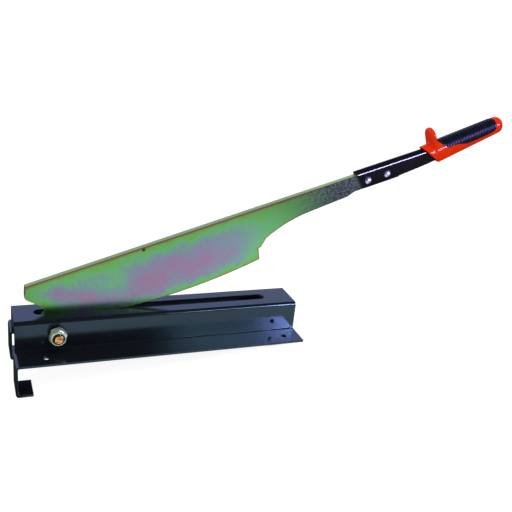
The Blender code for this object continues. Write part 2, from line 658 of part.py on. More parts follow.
def grip_half_width(reach):
    """Return half the grip's width: the channel's and the cover beside it, thinner towards the rear."""
    share = (reach - GRIP_START) / (GRIP_END - GRIP_START)
    return CHANNEL_OUTSIDE_RADIUS + blend(GRIP_FRONT_SIDE_COVER, GRIP_REAR_SIDE_COVER, share)


def end_shrink(reach):
    """Return the share of its full size that the grip's section has inside its rounded end."""
    into_end = max(reach - (GRIP_END - GRIP_END_ROUNDING), 0) / GRIP_END_ROUNDING
    return math.sqrt(max(1 - into_end**2, 0))


def oval_point(reach, turn, inset=0):
    """Return the (y, rise) place on the grip's section, where turn 0 is its top."""
    half_height = grip_half_height(reach)
    half_width = grip_half_width(reach)
    shrink = end_shrink(reach)
    side = math.copysign(abs(math.sin(turn)) ** (2 / OVAL_POWER), math.sin(turn))
    lift = math.copysign(abs(math.cos(turn)) ** (2 / OVAL_POWER), math.cos(turn))
    middle = grip_top(reach) - half_height
    return side * (half_width * shrink - inset), middle + lift * (half_height * shrink - inset)


def grip_mesh():
    """Return the grip's outer form, its front cut at a slant and its end rounded."""
    end_start = GRIP_END - GRIP_END_ROUNDING
    reaches = [blend(GRIP_START, end_start, station / GRIP_STATIONS) for station in range(GRIP_STATIONS + 1)]
    turns = [QUARTER_TURN * step / (GRIP_END_STEPS + 1) for step in range(1, GRIP_END_STEPS + 1)]
    reaches += [end_start + GRIP_END_ROUNDING * math.sin(turn) for turn in turns]
    rings = []
    for reach in reaches:
        section = [oval_point(reach, math.tau * index / GRIP_SIDES) for index in range(GRIP_SIDES)]
        slant = GRIP_FRONT_LEAN * max(1 - (reach - GRIP_START) / (end_start - GRIP_START), 0)
        rings.append(along_handle(section, reach, slant / (2 * grip_half_height(reach))))
    return loft("grip_body", rings)


def socket_mesh():
    """Return the space that the channel takes in the grip, with the fit gap round it."""
    reaches = [GRIP_START - CUT_OVERRUN]
    reaches += [reach for reach in bend_reaches() if reach > GRIP_START]
    reaches.append(CHANNEL_END + GRIP_SOCKET_END_GAP)
    rings = []
    for reach in reaches:
        bottom = CHANNEL_OUTSIDE_RADIUS - channel_depth(reach) - FIT_GAP
        rings.append(along_handle(channel_line(CHANNEL_OUTSIDE_RADIUS + FIT_GAP, bottom), reach))
    return loft("grip_socket_cutter", rings)


def guard_mesh():
    """Return the hand guard: an upright tongue with a round top, across the grip."""
    radius = GUARD_WIDTH / 2
    root = grip_top(GUARD_REACH) - grip_half_height(GUARD_REACH)
    round_centre = (0, grip_top(GUARD_REACH) + GUARD_HEIGHT - radius)
    outline = [(-radius, root), (radius, root)] + arc(round_centre, radius, 0, math.pi, TURNED_SIDES // 2)
    faces = (GUARD_REACH - GUARD_THICKNESS / 2, GUARD_REACH + GUARD_THICKNESS / 2)
    return loft("guard_guide", [along_handle(outline, reach) for reach in faces])


def insert_mesh(name, margin, overrun):
    """Return the soft insert's shell, grown by a margin on its sides and inside, and an overrun outside."""
    end_growths = {INSERT_ALONG_SHARES[0]: -margin, INSERT_ALONG_SHARES[-1]: margin}
    rings = []
    for along_share, wrap_share in zip(INSERT_ALONG_SHARES, INSERT_WRAP_SHARES):
        reach = blend(INSERT_START, INSERT_END, along_share) + end_growths.get(along_share, 0)
        wrap = math.pi * wrap_share
        turns = [blend(-wrap, wrap, index / INSERT_SIDES) for index in range(INSERT_SIDES + 1)]
        turns[0] -= 2 * margin / grip_half_width(reach)
        turns[-1] += 2 * margin / grip_half_width(reach)
        section = [oval_point(reach, turn, -overrun) for turn in turns]
        section += [oval_point(reach, turn, INSERT_THICKNESS + margin) for turn in reversed(turns)]
        rings.append(along_handle(section, reach))
    return loft(name, rings)


def build_grip(parent, materials):
    """Mould the grip round the channel's end, with its guard, and lay the soft insert into its back."""
    grip = add_object("grip_body", grip_mesh(), parent, materials["orange"])
    apply_boolean(grip, "UNION", add_object("guard_guide", guard_mesh(), grip))
    apply_boolean(grip, "DIFFERENCE", add_object("grip_socket_cutter", socket_mesh(), grip))
    recess = insert_mesh("insert_recess_cutter", FIT_GAP, CUT_OVERRUN)
    apply_boolean(grip, "DIFFERENCE", add_object("insert_recess_cutter", recess, grip))
    add_object("grip_insert", insert_mesh("grip_insert", 0, 0), parent, materials["black_rubber"])


def make_materials():
    """Return the part's materials by name."""
    return {
        "black_paint": make_material("black_paint", (0.012, 0.013, 0.016), 0.22, 0.0),
        "yellow_zinc": make_material("yellow_zinc", (0.36, 0.44, 0.26), 0.30, 0.9),
        "zinc": make_material("zinc", (0.62, 0.62, 0.50), 0.28, 1.0),
        "steel": make_material("steel", (0.45, 0.45, 0.46), 0.35, 1.0),
        "bronze": make_material("bronze", (0.55, 0.36, 0.16), 0.35, 1.0),
        "bright_zinc": make_material("bright_zinc", (0.72, 0.74, 0.76), 0.22, 1.0),
        "nylon": make_material("nylon", (0.05, 0.05, 0.06), 0.45, 0.0),
        "orange": make_material("orange", (0.85, 0.10, 0.012), 0.38, 0.0),
        "black_rubber": make_material("black_rubber", (0.014, 0.014, 0.020), 0.50, 0.0),
    }


def world_bounds():
    """Return the low and high corner of the box round every piece."""
    bpy.context.view_layer.update()
    depsgraph = bpy.context.evaluated_depsgraph_get()
    corners = []
    for scene_object in bpy.context.scene.objects:
        if scene_object.type == "MESH" and not scene_object.hide_render:
            evaluated = scene_object.evaluated_get(depsgraph)
            corners += [evaluated.matrix_world @ vertex.co for vertex in evaluated.data.vertices]
    low = [min(corner[axis] for corner in corners) for axis in range(3)]
    high = [max(corner[axis] for corner in corners) for axis in range(3)]
    return low, high


def main():
    """Build the slate cutter and stand it on the origin."""
    clear_scene()
    materials = make_materials()
    root = add_empty("slate_cutter")
    pivot_place = (PIVOT_FROM_LEFT, 0, PIVOT_HEIGHT)
    pivot_axis = add_empty("pivot_axis", root, pivot_place)
    blade_axis = add_empty("blade_axis", root, pivot_place, (0, -BLADE_OPEN_ANGLE, 0))

    build_base_frame(root, materials["black_paint"])
    build_pivot_stack(pivot_axis, materials)
    build_blade(blade_axis, materials["yellow_zinc"])
    build_pivot_bush(blade_axis, materials["bronze"])
    build_handle_channel(blade_axis, materials["black_paint"])
    build_rivets(blade_axis, materials["bright_zinc"])
    build_grip(blade_axis, materials)

    low, high = world_bounds()
    root.location = (-(low[0] + high[0]) / 2, 0, -low[2])
    bpy.context.view_layer.update()


main()
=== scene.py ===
"""The slate cutter as it looks: painted folded table, plated blade, riveted handle channel and moulded grip.

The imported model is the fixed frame. Each piece below takes the place of the solid of the same part, with
rounded sheet edges, fine turned shapes, a ribbed grip insert and procedural finishes. Lengths are metres in
the row frame: +X runs along the table from the hooks to the handle, +Z is up and the table's front is -Y.
The lever is drawn in the blade's own frame, its origin on the pivot's axis and +X along the straight spine.
"""

from __future__ import annotations

import json
import logging
import math
from collections.abc import Callable, Mapping, Sequence
from dataclasses import dataclass
from enum import Enum
from types import MappingProxyType

import bmesh
import bpy
import numpy
from mathutils import Matrix, Vector

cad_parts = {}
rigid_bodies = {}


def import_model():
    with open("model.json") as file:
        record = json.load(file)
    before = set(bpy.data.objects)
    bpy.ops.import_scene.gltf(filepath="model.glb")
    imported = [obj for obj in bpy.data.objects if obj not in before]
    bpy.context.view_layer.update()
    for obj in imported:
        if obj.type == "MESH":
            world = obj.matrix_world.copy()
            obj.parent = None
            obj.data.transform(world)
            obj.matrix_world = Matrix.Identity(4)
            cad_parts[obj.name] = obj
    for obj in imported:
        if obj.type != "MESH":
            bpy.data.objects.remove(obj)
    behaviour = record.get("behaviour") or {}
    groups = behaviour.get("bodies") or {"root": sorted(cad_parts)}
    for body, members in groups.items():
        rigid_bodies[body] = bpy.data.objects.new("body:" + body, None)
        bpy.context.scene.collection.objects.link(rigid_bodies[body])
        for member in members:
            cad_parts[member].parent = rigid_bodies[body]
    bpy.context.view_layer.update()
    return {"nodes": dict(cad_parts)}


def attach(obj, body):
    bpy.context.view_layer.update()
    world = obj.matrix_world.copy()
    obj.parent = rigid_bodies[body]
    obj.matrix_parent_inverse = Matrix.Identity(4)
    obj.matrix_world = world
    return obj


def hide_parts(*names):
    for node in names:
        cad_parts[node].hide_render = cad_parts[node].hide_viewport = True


LOG = logging.getLogger("slate_cutter")
MILLIMETRE = 0.001
MERGE_DISTANCE = 1e-6
FLAT_ANGLE = math.radians(1.0)
SMOOTH_ANGLE = math.radians(38.0)
HEXAGON_SIDES = 6

Colour = tuple[float, float, float, float]
Place = tuple[float, float, float]
Span = tuple[float, float]
Shape = bmesh.types.BMesh
Socket = bpy.types.NodeSocket

WHITE: Colour = (1.0, 1.0, 1.0, 1.0)
BLACK: Colour = (0.0, 0.0, 0.0, 1.0)
NOTHING: Mapping[str | int, Value] = MappingProxyType({})


class Body(Enum):
    """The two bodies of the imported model."""

    BASE = "base"
    LEVER = "lever"


class Slot(Enum):
    """The record's material slots that the pieces use."""

    BLACK_PAINT = "black_paint"
    YELLOW_ZINC = "yellow_zinc"
    ZINC = "zinc"
    BRIGHT_ZINC = "bright_zinc"
    NYLON = "nylon"
    ORANGE = "orange"
    BLACK_RUBBER = "black_rubber"


def screen(*channels: int) -> Colour:
    """Turn a screen's red, green and blue, each from 0 to 255, into an opaque linear colour."""
    shares = [channel / 255 for channel in channels]
    return (*[share / 12.92 if share <= 0.04045 else ((share + 0.055) / 1.055) ** 2.4 for share in shares], 1)


def between(start: float, end: float, share: float) -> float:
    """Return the value at some share of the way from start to end."""
    return start + (end - start) * share


def smooth_share(value: float, low: float, high: float) -> float:
    """Return a smooth step from 0 at low to 1 at high."""
    share = min(max((value - low) / (high - low), 0), 1)
    return share * share * (3 - 2 * share)


def math_method(operation: str, swapped: bool = False) -> Callable[[Signal, Signal | float], Signal]:
    """Return a method that adds a Math node, with the signal as its second value if it is swapped."""
    order = -1 if swapped else 1
    return lambda *values: values[0].graph.math(operation, *values[::order])


@dataclass(frozen=True)
class Signal:
    """A number that varies over a surface. Python's operators on it add the Math nodes they stand for."""

    graph: ShaderGraph
    socket: Socket

    __add__ = __radd__ = math_method("ADD")
    __sub__ = math_method("SUBTRACT")
    __rsub__ = math_method("SUBTRACT", swapped=True)
    __mul__ = __rmul__ = math_method("MULTIPLY")
    __truediv__ = math_method("DIVIDE")
    __rtruediv__ = math_method("DIVIDE", swapped=True)
    least = math_method("MINIMUM")
    most = math_method("MAXIMUM")

    def __abs__(self) -> Signal:
        """Drop the sign."""
        return self.graph.math("ABSOLUTE", self)

    def fading(self) -> Signal:
        """Return 1 at 0, falling off as a bell's flank does."""
        return self.graph.math("EXPONENT", self * -1.0)

    def ramp(self, low: float, high: float) -> Signal:
        """Return a smooth step from 0 to 1.

        Args:
            low: The value at which the step is 0.
            high: The value at which the step is 1, which may lie below low.

        Returns:
            The step.
        """
        start, end = (0.0, 1.0) if low < high else (1.0, 0.0)
        limits = {"From Min": min(low, high), "From Max": max(low, high), "To Min": start, "To Max": end}
        made = self.graph.node("MapRange", {"Value": self, **limits}, interpolation_type="SMOOTHSTEP")
        return Signal(self.graph, made.outputs["Result"])


Value = Signal | Socket | float | Sequence[float]


@dataclass(frozen=True)
class Grain:
    """A cloud of numbers: blobs to a metre, its finer layers and their strength, and a squeeze by axis."""

    scale: float
    detail: float = 2.0
    roughness: float = 0.5
    squeeze: Place | None = None


class ShaderGraph:
    """A node tree that is built by calls: one for a node of any kind, and short ones for what recurs."""

    def __init__(self, tree: bpy.types.NodeTree) -> None:
        """Empty the tree."""
        self.tree = tree
        self.tree.nodes.clear()

    def node(self, kind: str, inputs: Mapping[str | int, Value] = NOTHING, **settings: str) -> bpy.types.Node:
        """Add a node, first its settings and then what its sockets are fed.

        Args:
            kind: The node's type, without the word that all of them start with.
            inputs: Values or links by socket name or number.
            settings: Its properties by name.

        Returns:
            The node.
        """
        made = self.tree.nodes.new(f"ShaderNode{kind}")
        for name, value in settings.items():
            setattr(made, name, value)
        for key, value in inputs.items():
            if isinstance(value, Signal):
                value = value.socket
            if isinstance(value, Socket):
                self.tree.links.new(value, made.inputs[key])
            else:
                made.inputs[key].default_value = value
        return made

    def stops(self, share: Signal, stops: Sequence[tuple[float, Colour]]) -> Socket:
        """Return a colour that runs through some stops.

        Args:
            share: Where the colour is on the run, from 0 to 1.
            stops: Each stop's place and colour, in order.

        Returns:
            The colour.
        """
        made = self.node("ValToRGB", {0: share})
        elements = made.color_ramp.elements
        while len(elements) < len(stops):
            elements.new(1.0)
        for element, (place, colour) in zip(elements, stops):
            element.position = place
            element.color = colour
        return made.outputs[0]

    def math(self, operation: str, *values: Value) -> Signal:
        """Add a Math node and return its result."""
        return Signal(self, self.node("Math", dict(enumerate(values)), operation=operation).outputs[0])

    def distance(self, first: Value, second: Value) -> Signal:
        """Return the distance between two places."""
        made = self.node("VectorMath", {0: first, 1: second}, operation="DISTANCE")
        return Signal(self, made.outputs["Value"])

    def scaled(self, place: Value, factors: Place) -> Socket:
        """Return a place with each coordinate multiplied by a factor."""
        return self.node("VectorMath", {0: place, 1: factors}, operation="MULTIPLY").outputs["Vector"]

    def mix(self, first: Value, second: Value, share: Value) -> Socket:
        """Return the colour at some share of the way from the first to the second."""
        return self.node("Mix", {0: share, 6: first, 7: second}, data_type="RGBA").outputs[2]

    def place(self, origin: Place = (0, 0, 0), turn: Place = (0, 0, 0)) -> Socket:
        """Return the place on the piece in a frame with its own origin and its own turn about X, Y and Z."""
        inputs = {"Vector": self.node("TexCoord").outputs["Object"], "Location": origin, "Rotation": turn}
        return self.node("Mapping", inputs, vector_type="TEXTURE").outputs["Vector"]

    def split(self, place: Socket) -> tuple[Signal, ...]:
        """Return a place's three coordinates."""
        return tuple(Signal(self, output) for output in self.node("SeparateXYZ", {0: place}).outputs)

    def noise(self, place: Value, grain: Grain) -> Signal:
        """Return a cloud of numbers about 0.5.

        Args:
            place: Where it is read.
            grain: What the cloud is like.

        Returns:
            The numbers.
        """
        if grain.squeeze:
            place = self.scaled(place, grain.squeeze)
        inputs = {"Scale": grain.scale, "Detail": grain.detail, "Roughness": grain.roughness}
        return Signal(self, self.node("TexNoise", {"Vector": place, **inputs}).outputs["Fac"])

    def bump(self, height: Signal, depth: float, strength: float) -> Socket:
        """Return a normal that follows a height, of which 1 stands for the depth in metres."""
        inputs = {"Height": height, "Distance": depth, "Strength": strength}
        return self.node("Bump", inputs).outputs["Normal"]

    def ray(self, kind: str) -> Signal:
        """Return 1 for the rays of one kind and 0 for all others."""
        return Signal(self, self.node("LightPath").outputs[f"Is {kind} Ray"])

    def surface(self, inputs: Mapping[str, Value]) -> None:
        """End a material in one Principled shader."""
        self.node("OutputMaterial", {"Surface": self.node("BsdfPrincipled", inputs).outputs["BSDF"]})

    def end_by_ray(self, output: str, soft: bpy.types.Node, shown: bpy.types.Node) -> None:
        """End a tree in two shaders.

        Args:
            output: The kind of the output's node.
            soft: What soft light meets.
            shown: What the camera, gloss and clear parts show.
        """
        seen = self.ray("Camera").most(self.ray("Glossy")).most(self.ray("Transmission"))
        mixed = self.node("MixShader", {0: seen, 1: soft.outputs[0], 2: shown.outputs[0]})
        self.node(output, {"Surface": mixed.outputs[0]})


@dataclass(frozen=True)
class Finish:
    """What one material looks like. Each kind of finish says how it is painted."""

    name: str

    def paint(self, graph: ShaderGraph) -> None:
        """Build the finish's nodes."""
        raise NotImplementedError

    def material(self) -> bpy.types.Material:
        """Make the finish's material at its first use.

        Returns:
            The material.
        """
        found = bpy.data.materials.get(self.name)
        if found is None:
            found = bpy.data.materials.new(self.name)
            found.use_nodes = True
            self.paint(ShaderGraph(found.node_tree))
        return found


@dataclass(frozen=True)
class Layer:
    """A cloud over a skin, and how much it adds of the second colour, of dullness and of relief."""

    grain: Grain
    cover: float = 0.0
    dullness: float = 0.0
    relief: float = 0.0
    step: Span | None = None


@dataclass(frozen=True)
class Skin(Finish):
    """A skin of two colours, uneven by its layers, with a raised parting line if it was moulded."""

    colour: Colour
    second_colour: Colour
    gloss_roughness: float
    layers: tuple[Layer, ...]
    bump_depth: float
    bump_strength: float
    metallic: float = 0.0
    refraction: float = 1.5
    sheen_level: float = 0.5
    sheen_colour: Colour = WHITE
    seam: Span = (0.00035, 0.00010)
    seam_relief: float = 0.0

    def paint(self, graph: ShaderGraph) -> None:
        """Build the finish's nodes.

        Args:
            graph: The material's node tree.
        """
        place = graph.place()
        cover, dullness = 0.0, self.gloss_roughness
        relief = abs(graph.split(place)[1]).ramp(*self.seam) * self.seam_relief
        for layer in self.layers:
            cloud = graph.noise(place, layer.grain)
            if layer.step:
                cloud = cloud.ramp(*layer.step)
            cover, dullness = cloud * layer.cover + cover, cloud * layer.dullness + dullness
            relief = cloud * layer.relief + relief
        graph.surface(
            {
                "Base Color": graph.mix(self.colour, self.second_colour, cover),
                "Metallic": self.metallic,
                "Roughness": dullness,
                "IOR": self.refraction,
                "Specular IOR Level": self.sheen_level,
                "Specular Tint": self.sheen_colour,
                "Normal": graph.bump(relief, self.bump_depth, self.bump_strength),
            }
        )


@dataclass(frozen=True)
class GlossPaint(Skin):
    """Black gloss paint, baked on steel, with a faint orange peel, some dust and a cool sheen."""

    colour: Colour = screen(14, 16, 20)
    second_colour: Colour = screen(30, 33, 38)
    gloss_roughness: float = 0.13
    layers: tuple[Layer, ...] = (
        Layer(Grain(38.0, detail=3.0), cover=0.15, dullness=0.06),
        Layer(Grain(420.0, detail=1.0), relief=1.0),
        Layer(Grain(1680.0, detail=0.0), cover=0.60, dullness=0.15, step=(0.74, 0.80)),
    )
    bump_depth: float = 0.02 * MILLIMETRE
    bump_strength: float = 0.35
    refraction: float = 1.60
    sheen_colour: Colour = (0.40, 0.74, 1.0, 1.0)


def stained(share: float, scale: float, relief: float = 0.0) -> tuple[Layer, ...]:
    """Return the layers of turned metal: light stains, and fine tool marks round the Y axis.

    Args:
        share: How much of the metal's colour the stains hide.
        scale: How many stains there are to a metre.
        relief: How high they stand.

    Returns:
        The layers.
    """
    stain, marks = Grain(scale, detail=3.0, roughness=0.6), Grain(900.0, squeeze=(0.2, 1, 0.2))
    cover = Layer(stain, cover=share, step=(0.42, 0.66))
    return cover, Layer(stain, dullness=0.06, relief=relief), Layer(marks, dullness=0.12, relief=0.1)


@dataclass(frozen=True)
class TurnedMetal(Skin):
    """Bright plated or plain turned metal."""

    gloss_roughness: float = 0.22
    layers: tuple[Layer, ...] = stained(share=0.35, scale=170.0)
    bump_depth: float = 0.2 * MILLIMETRE
    bump_strength: float = 0.4
    metallic: float = 1.0


@dataclass(frozen=True)
class Lever:
    """Where the blade stands: its pivot and how far it is open."""

    pivot: Place = (-0.284752, 0.0, 0.063)
    open_angle: float = math.radians(17.7)

    def placement(self) -> Matrix:
        """Return the blade's frame in the row frame."""
        return Matrix.Translation(self.pivot) @ Matrix.Rotation(-self.open_angle, 4, "Y")


@dataclass(frozen=True)
class BladePoint:
    """Where a point of the blade lies in the blade's own frame, seen square to the plate."""

    reach: Signal
    height: Signal
    from_spine: Signal
    from_edge: Signal


@dataclass(frozen=True)
class FilmLobe:
    """A soft oval place where the blade's passive film is thicker or thinner, in the blade's own frame."""

    reach: float
    height: float
    long_radius: float
    short_radius: float
    turn: float
    rise: float

    def over(self, point: BladePoint) -> Signal:
        """Return the lobe's rise, which falls off smoothly from its middle.

        Args:
            point: Where it is read.

        Returns:
            The rise there.
        """
        along, up = point.reach - self.reach, point.height - self.height
        cosine, sine = math.cos(self.turn), math.sin(self.turn)
        long_way = (along * cosine + up * sine) / self.long_radius
        short_way = (up * cosine - along * sine) / self.short_radius
        return (long_way * long_way + short_way * short_way).fading() * self.rise


@dataclass(frozen=True)
class PlatedBlade(Finish):
    """Yellow passivated zinc on rolled plate.

    The film's colours follow its thickness: brown and green where it is thin, along the plate's edges, then
    teal and lilac, and pink where it is thickest. The tang is bare of it, dark and pitted.
    """

    lever: Lever = Lever()
    half_thickness: float = 0.004
    spine_height: float = 0.0628
    edge_centre: Span = (0.17810, 0.78546)
    edge_radius: float = 0.8003
    neck_centre: Span = (0.36942, -0.14877)
    neck_radius: float = 0.18328
    tip_top: float = -0.0174
    tip_lean: float = math.radians(20)
    throat: Span = (-0.0035, 0.0265)
    throat_slope: float = math.radians(43.0)
    heel_reach: float = 0.2788
    stop_reach: float = 0.2830
    stop_height: float = 0.0076
    thin_rim: float = 0.16
    least_film: float = 0.14
    full_film: float = 0.60
    spine_fade: float = 0.027
    edge_fade: float = 0.015
    throat_fade: float = 0.020
    neck_fade: Span = (0.302, 0.235)
    neck_share: float = 0.30
    wander: float = 0.03
    cloud_shares: Span = (0.80, 0.85)
    cloud_on_film: Span = (0.48, 0.15)
    arris_fade: Span = (0.0002, 0.0030)
    arris_wander: float = 0.0012
    spine_stain: Span = (0.0008, 0.0058)
    spine_hole: Span = (0.1322, 0.0594)
    spine_hole_rim: Span = (0.0027, 0.0015)
    hole_dark: Colour = screen(52, 34, 40)
    film_stops: tuple[tuple[float, Colour], ...] = (
        (0.00, screen(112, 96, 78)),
        (0.07, screen(122, 136, 74)),
        (0.15, screen(100, 167, 80)),
        (0.30, screen(101, 172, 103)),
        (0.42, screen(106, 162, 126)),
        (0.55, screen(110, 149, 138)),
        (0.65, screen(118, 140, 149)),
        (0.78, screen(130, 127, 151)),
        (0.90, screen(140, 118, 147)),
        (1.00, screen(151, 111, 142)),
    )
    lobes: tuple[FilmLobe, ...] = (
        FilmLobe(0.128, 0.013, 0.042, 0.022, 0.50, 0.33),
        FilmLobe(0.187, 0.014, 0.036, 0.018, 0.05, 0.30),
        FilmLobe(0.163, 0.034, 0.012, 0.010, 0.0, 0.12),
        FilmLobe(0.240, 0.014, 0.012, 0.012, 0.0, 0.10),
        FilmLobe(0.046, 0.024, 0.036, 0.010, -0.48, 0.26),
        FilmLobe(0.016, 0.043, 0.011, 0.009, 0.0, 0.24),
        FilmLobe(0.088, 0.033, 0.016, 0.020, 0.0, -0.22),
        FilmLobe(0.276, -0.004, 0.018, 0.016, 0.0, -0.12),
        FilmLobe(0.250, 0.026, 0.048, 0.020, 0.0, 0.10),
        FilmLobe(0.158, 0.024, 0.013, 0.024, 0.0, -0.12),
    )
    tang: Span = (0.312, 0.402)
    tang_share: float = 0.97
    tang_dark: Colour = screen(26, 28, 36)
    tang_pale: Colour = screen(88, 102, 100)
    tang_bareness: float = 0.35
    pit_share: float = 0.6
    pit_step: Span = (0.44, 0.62)
    spine_top: Colour = screen(160, 192, 100)
    spine_top_step: Span = (0.0006, 0.0001)
    spine_top_margin: float = 0.0005
    gloss_roughness: float = 0.27
    fine_dullness: float = 0.07
    tang_dullness: float = 0.08
    wide: Grain = Grain(40.0, detail=5.0, roughness=0.7)
    fine: Grain = Grain(260.0, detail=3.0, roughness=0.7)
    pits: Grain = Grain(900.0, roughness=0.6)
    rolled: Grain = Grain(700.0, detail=1.0, squeeze=(0.12, 1, 1))
    bump_depth: float = 0.03 * MILLIMETRE
    bump_strength: float = 0.35

    def _boundary(self, point: BladePoint, from_neck: Signal) -> Signal:
        """Return the distance to the plate's nearest edge.

        Args:
            point: Where the point lies.
            from_neck: The distance below the neck's arc.

        Returns:
            The distance.
        """
        chamfer = (point.height - self.stop_height - (point.reach - self.stop_reach)) * math.sqrt(0.5)
        cosine, sine = math.cos(self.tip_lean), math.sin(self.tip_lean)
        from_tip = (point.reach - self.tip_top) * cosine + point.from_spine * sine
        in_body = point.from_edge.least(self.heel_reach - point.reach)
        in_neck = from_neck.most(chamfer).least(point.height - self.stop_height)
        return in_body.most(in_neck).least(point.from_spine).least(from_tip)

    def _film(self, point: BladePoint, cloud: Signal) -> Signal:
        """Return the film's thickness, from 0 to 1.

        Args:
            point: Where the point lies.
            cloud: Unevenness about 0.

        Returns:
            The thickness.
        """
        out, up = point.reach - self.throat[0], point.height - self.throat[1]
        from_throat = out * math.cos(self.throat_slope) + up * math.sin(self.throat_slope)
        wander = cloud * self.wander
        full = (point.reach + wander).ramp(*self.neck_fade) * (1 - self.neck_share) + self.neck_share
        for distance, fade in (
            (point.from_spine, self.spine_fade),
            (point.from_edge, self.edge_fade),
            (from_throat, self.throat_fade),
        ):
            full = full * (distance + wander).ramp(0.0, fade)
        film = full * (self.full_film - self.thin_rim) + self.thin_rim
        for lobe in self.lobes:
            film = film + lobe.over(point)
        return (film + cloud * (full * self.cloud_on_film[0] + self.cloud_on_film[1])).most(self.least_film)

    def paint(self, graph: ShaderGraph) -> None:
        """Build the finish's nodes.

        Args:
            graph: The material's node tree.
        """
        place = graph.place(self.lever.pivot, (0, -self.lever.open_angle, 0))
        reach, across, height = graph.split(place)
        flat = graph.scaled(place, (1, 0, 1))
        grains = (self.wide, self.fine, self.pits, self.rolled)
        wide, fine, pits, rolled = (graph.noise(place, grain) for grain in grains)
        from_edge, from_neck, from_hole = (
            graph.distance(flat, (centre[0], 0.0, centre[1]))
            for centre in (self.edge_centre, self.neck_centre, self.spine_hole)
        )
        point = BladePoint(reach, height, self.spine_height - height, self.edge_radius - from_edge)

        cloud = (wide - 0.5) * self.cloud_shares[0] + (fine - 0.5) * self.cloud_shares[1]
        arris = self._boundary(point, from_neck - self.neck_radius) + (fine - 0.5) * self.arris_wander
        film = self._film(point, cloud) * arris.ramp(*self.arris_fade)
        film = film * point.from_spine.ramp(*self.spine_stain)
        colour = graph.stops(film, self.film_stops)

        tang = (reach + (wide - 0.5) * self.wander).ramp(*self.tang)
        pitted = (pits * self.pit_share + fine * (1 - self.pit_share)).ramp(*self.pit_step)
        colour = graph.mix(colour, graph.mix(self.tang_dark, self.tang_pale, pitted), tang * self.tang_share)
        top = abs(across).ramp(self.half_thickness, self.half_thickness - self.spine_top_margin)
        colour = graph.mix(colour, self.spine_top, top * point.from_spine.ramp(*self.spine_top_step))
        colour = graph.mix(colour, self.hole_dark, from_hole.ramp(*self.spine_hole_rim))
        graph.surface(
            {
                "Base Color": colour,
                "Metallic": 1.0 - tang * self.tang_bareness,
                "Roughness": self.gloss_roughness + fine * self.fine_dullness + tang * self.tang_dullness,
                "Normal": graph.bump((rolled + pits) * 0.5, self.bump_depth, self.bump_strength),
            }
        )


@dataclass(frozen=True)
class Finishes:
    """Every finish on the tool."""

    paint: Finish = GlossPaint("black_gloss_paint")
    handle_paint: Finish = GlossPaint(
        "handle_gloss_paint",
        colour=screen(8, 10, 12),
        gloss_roughness=0.15,
        bump_strength=0.03,
        refraction=1.5,
        sheen_colour=(0.80, 0.86, 1.0, 1.0),
    )
    blade: Finish = PlatedBlade("blade_plating")
    zinc: Finish = TurnedMetal(
        "nut_zinc",
        screen(226, 244, 222),
        screen(92, 148, 98),
        gloss_roughness=0.16,
        layers=stained(share=0.70, scale=170.0),
        metallic=0.75,
    )
    # The washers' zinc is given a dark grey colour, darker than the nut's.
    dark_washer_zinc: Finish = TurnedMetal(
        "washer_zinc", screen(84, 88, 84), screen(50, 54, 50), gloss_roughness=0.30
    )
    bolt_zinc: Finish = TurnedMetal(
        "bolt_zinc",
        screen(218, 176, 108),
        screen(110, 52, 28),
        gloss_roughness=0.16,
        layers=stained(share=0.9, scale=380.0, relief=1.6),
    )
    steel: Finish = TurnedMetal("turned_steel", screen(176, 178, 180), screen(110, 108, 100))
    bronze: Finish = TurnedMetal("bearing_bronze", screen(196, 160, 104), screen(130, 96, 60))
    bright_zinc: Finish = TurnedMetal(
        "rivet_zinc", screen(190, 200, 226), screen(150, 162, 190), gloss_roughness=0.34
    )
    nylon: Finish = Skin(
        name="lock_ring_nylon",
        colour=screen(30, 34, 36),
        second_colour=screen(46, 50, 52),
        gloss_roughness=0.40,
        layers=(Layer(Grain(1200.0), cover=1.0, dullness=0.12, relief=1.0),),
        bump_depth=0.02 * MILLIMETRE,
        bump_strength=0.5,
    )
    orange: Finish = Skin(
        name="orange_plastic",
        colour=screen(217, 45, 3),
        second_colour=screen(196, 36, 5),
        gloss_roughness=0.10,
        layers=(
            Layer(Grain(60.0), cover=0.6, step=(0.35, 0.75)),
            Layer(Grain(1500.0, detail=1.0), dullness=0.06, relief=0.10),
        ),
        bump_depth=0.06 * MILLIMETRE,
        bump_strength=0.4,
        sheen_level=0.19,
        sheen_colour=(1.0, 0.40, 0.42, 1.0),
        seam_relief=0.6,
    )
    rubber: Finish = Skin(
        name="black_soft_plastic",
        colour=screen(12, 14, 20),
        second_colour=screen(26, 30, 44),
        gloss_roughness=0.30,
        layers=(
            Layer(Grain(90.0, detail=3.0), cover=0.6, step=(0.45, 0.75)),
            Layer(Grain(90.0, detail=3.0), dullness=0.10),
            Layer(Grain(1800.0), relief=1.0),
        ),
        bump_depth=0.03 * MILLIMETRE,
        bump_strength=0.5,
        sheen_level=0.20,
        sheen_colour=(0.40, 0.42, 1.0, 1.0),
    )


def mapped(shape: Shape, move: Callable[[Vector], Sequence[float]]) -> Shape:
    """Move each vertex of a shape.

    Args:
        shape: The shape.
        move: Gives a vertex's new place from its place.

    Returns:
        The same shape.
    """
    for vertex in shape.verts:
        vertex.co = move(vertex.co)
    return shape


def close_up(shape: Shape) -> Shape:
    """Merge a shape's doubled vertices and point its faces outwards.

    Args:
        shape: The shape.

    Returns:
        The same shape.
    """
    bmesh.ops.remove_doubles(shape, verts=shape.verts, dist=MERGE_DISTANCE)
    bmesh.ops.recalc_face_normals(shape, faces=shape.faces)
    return shape


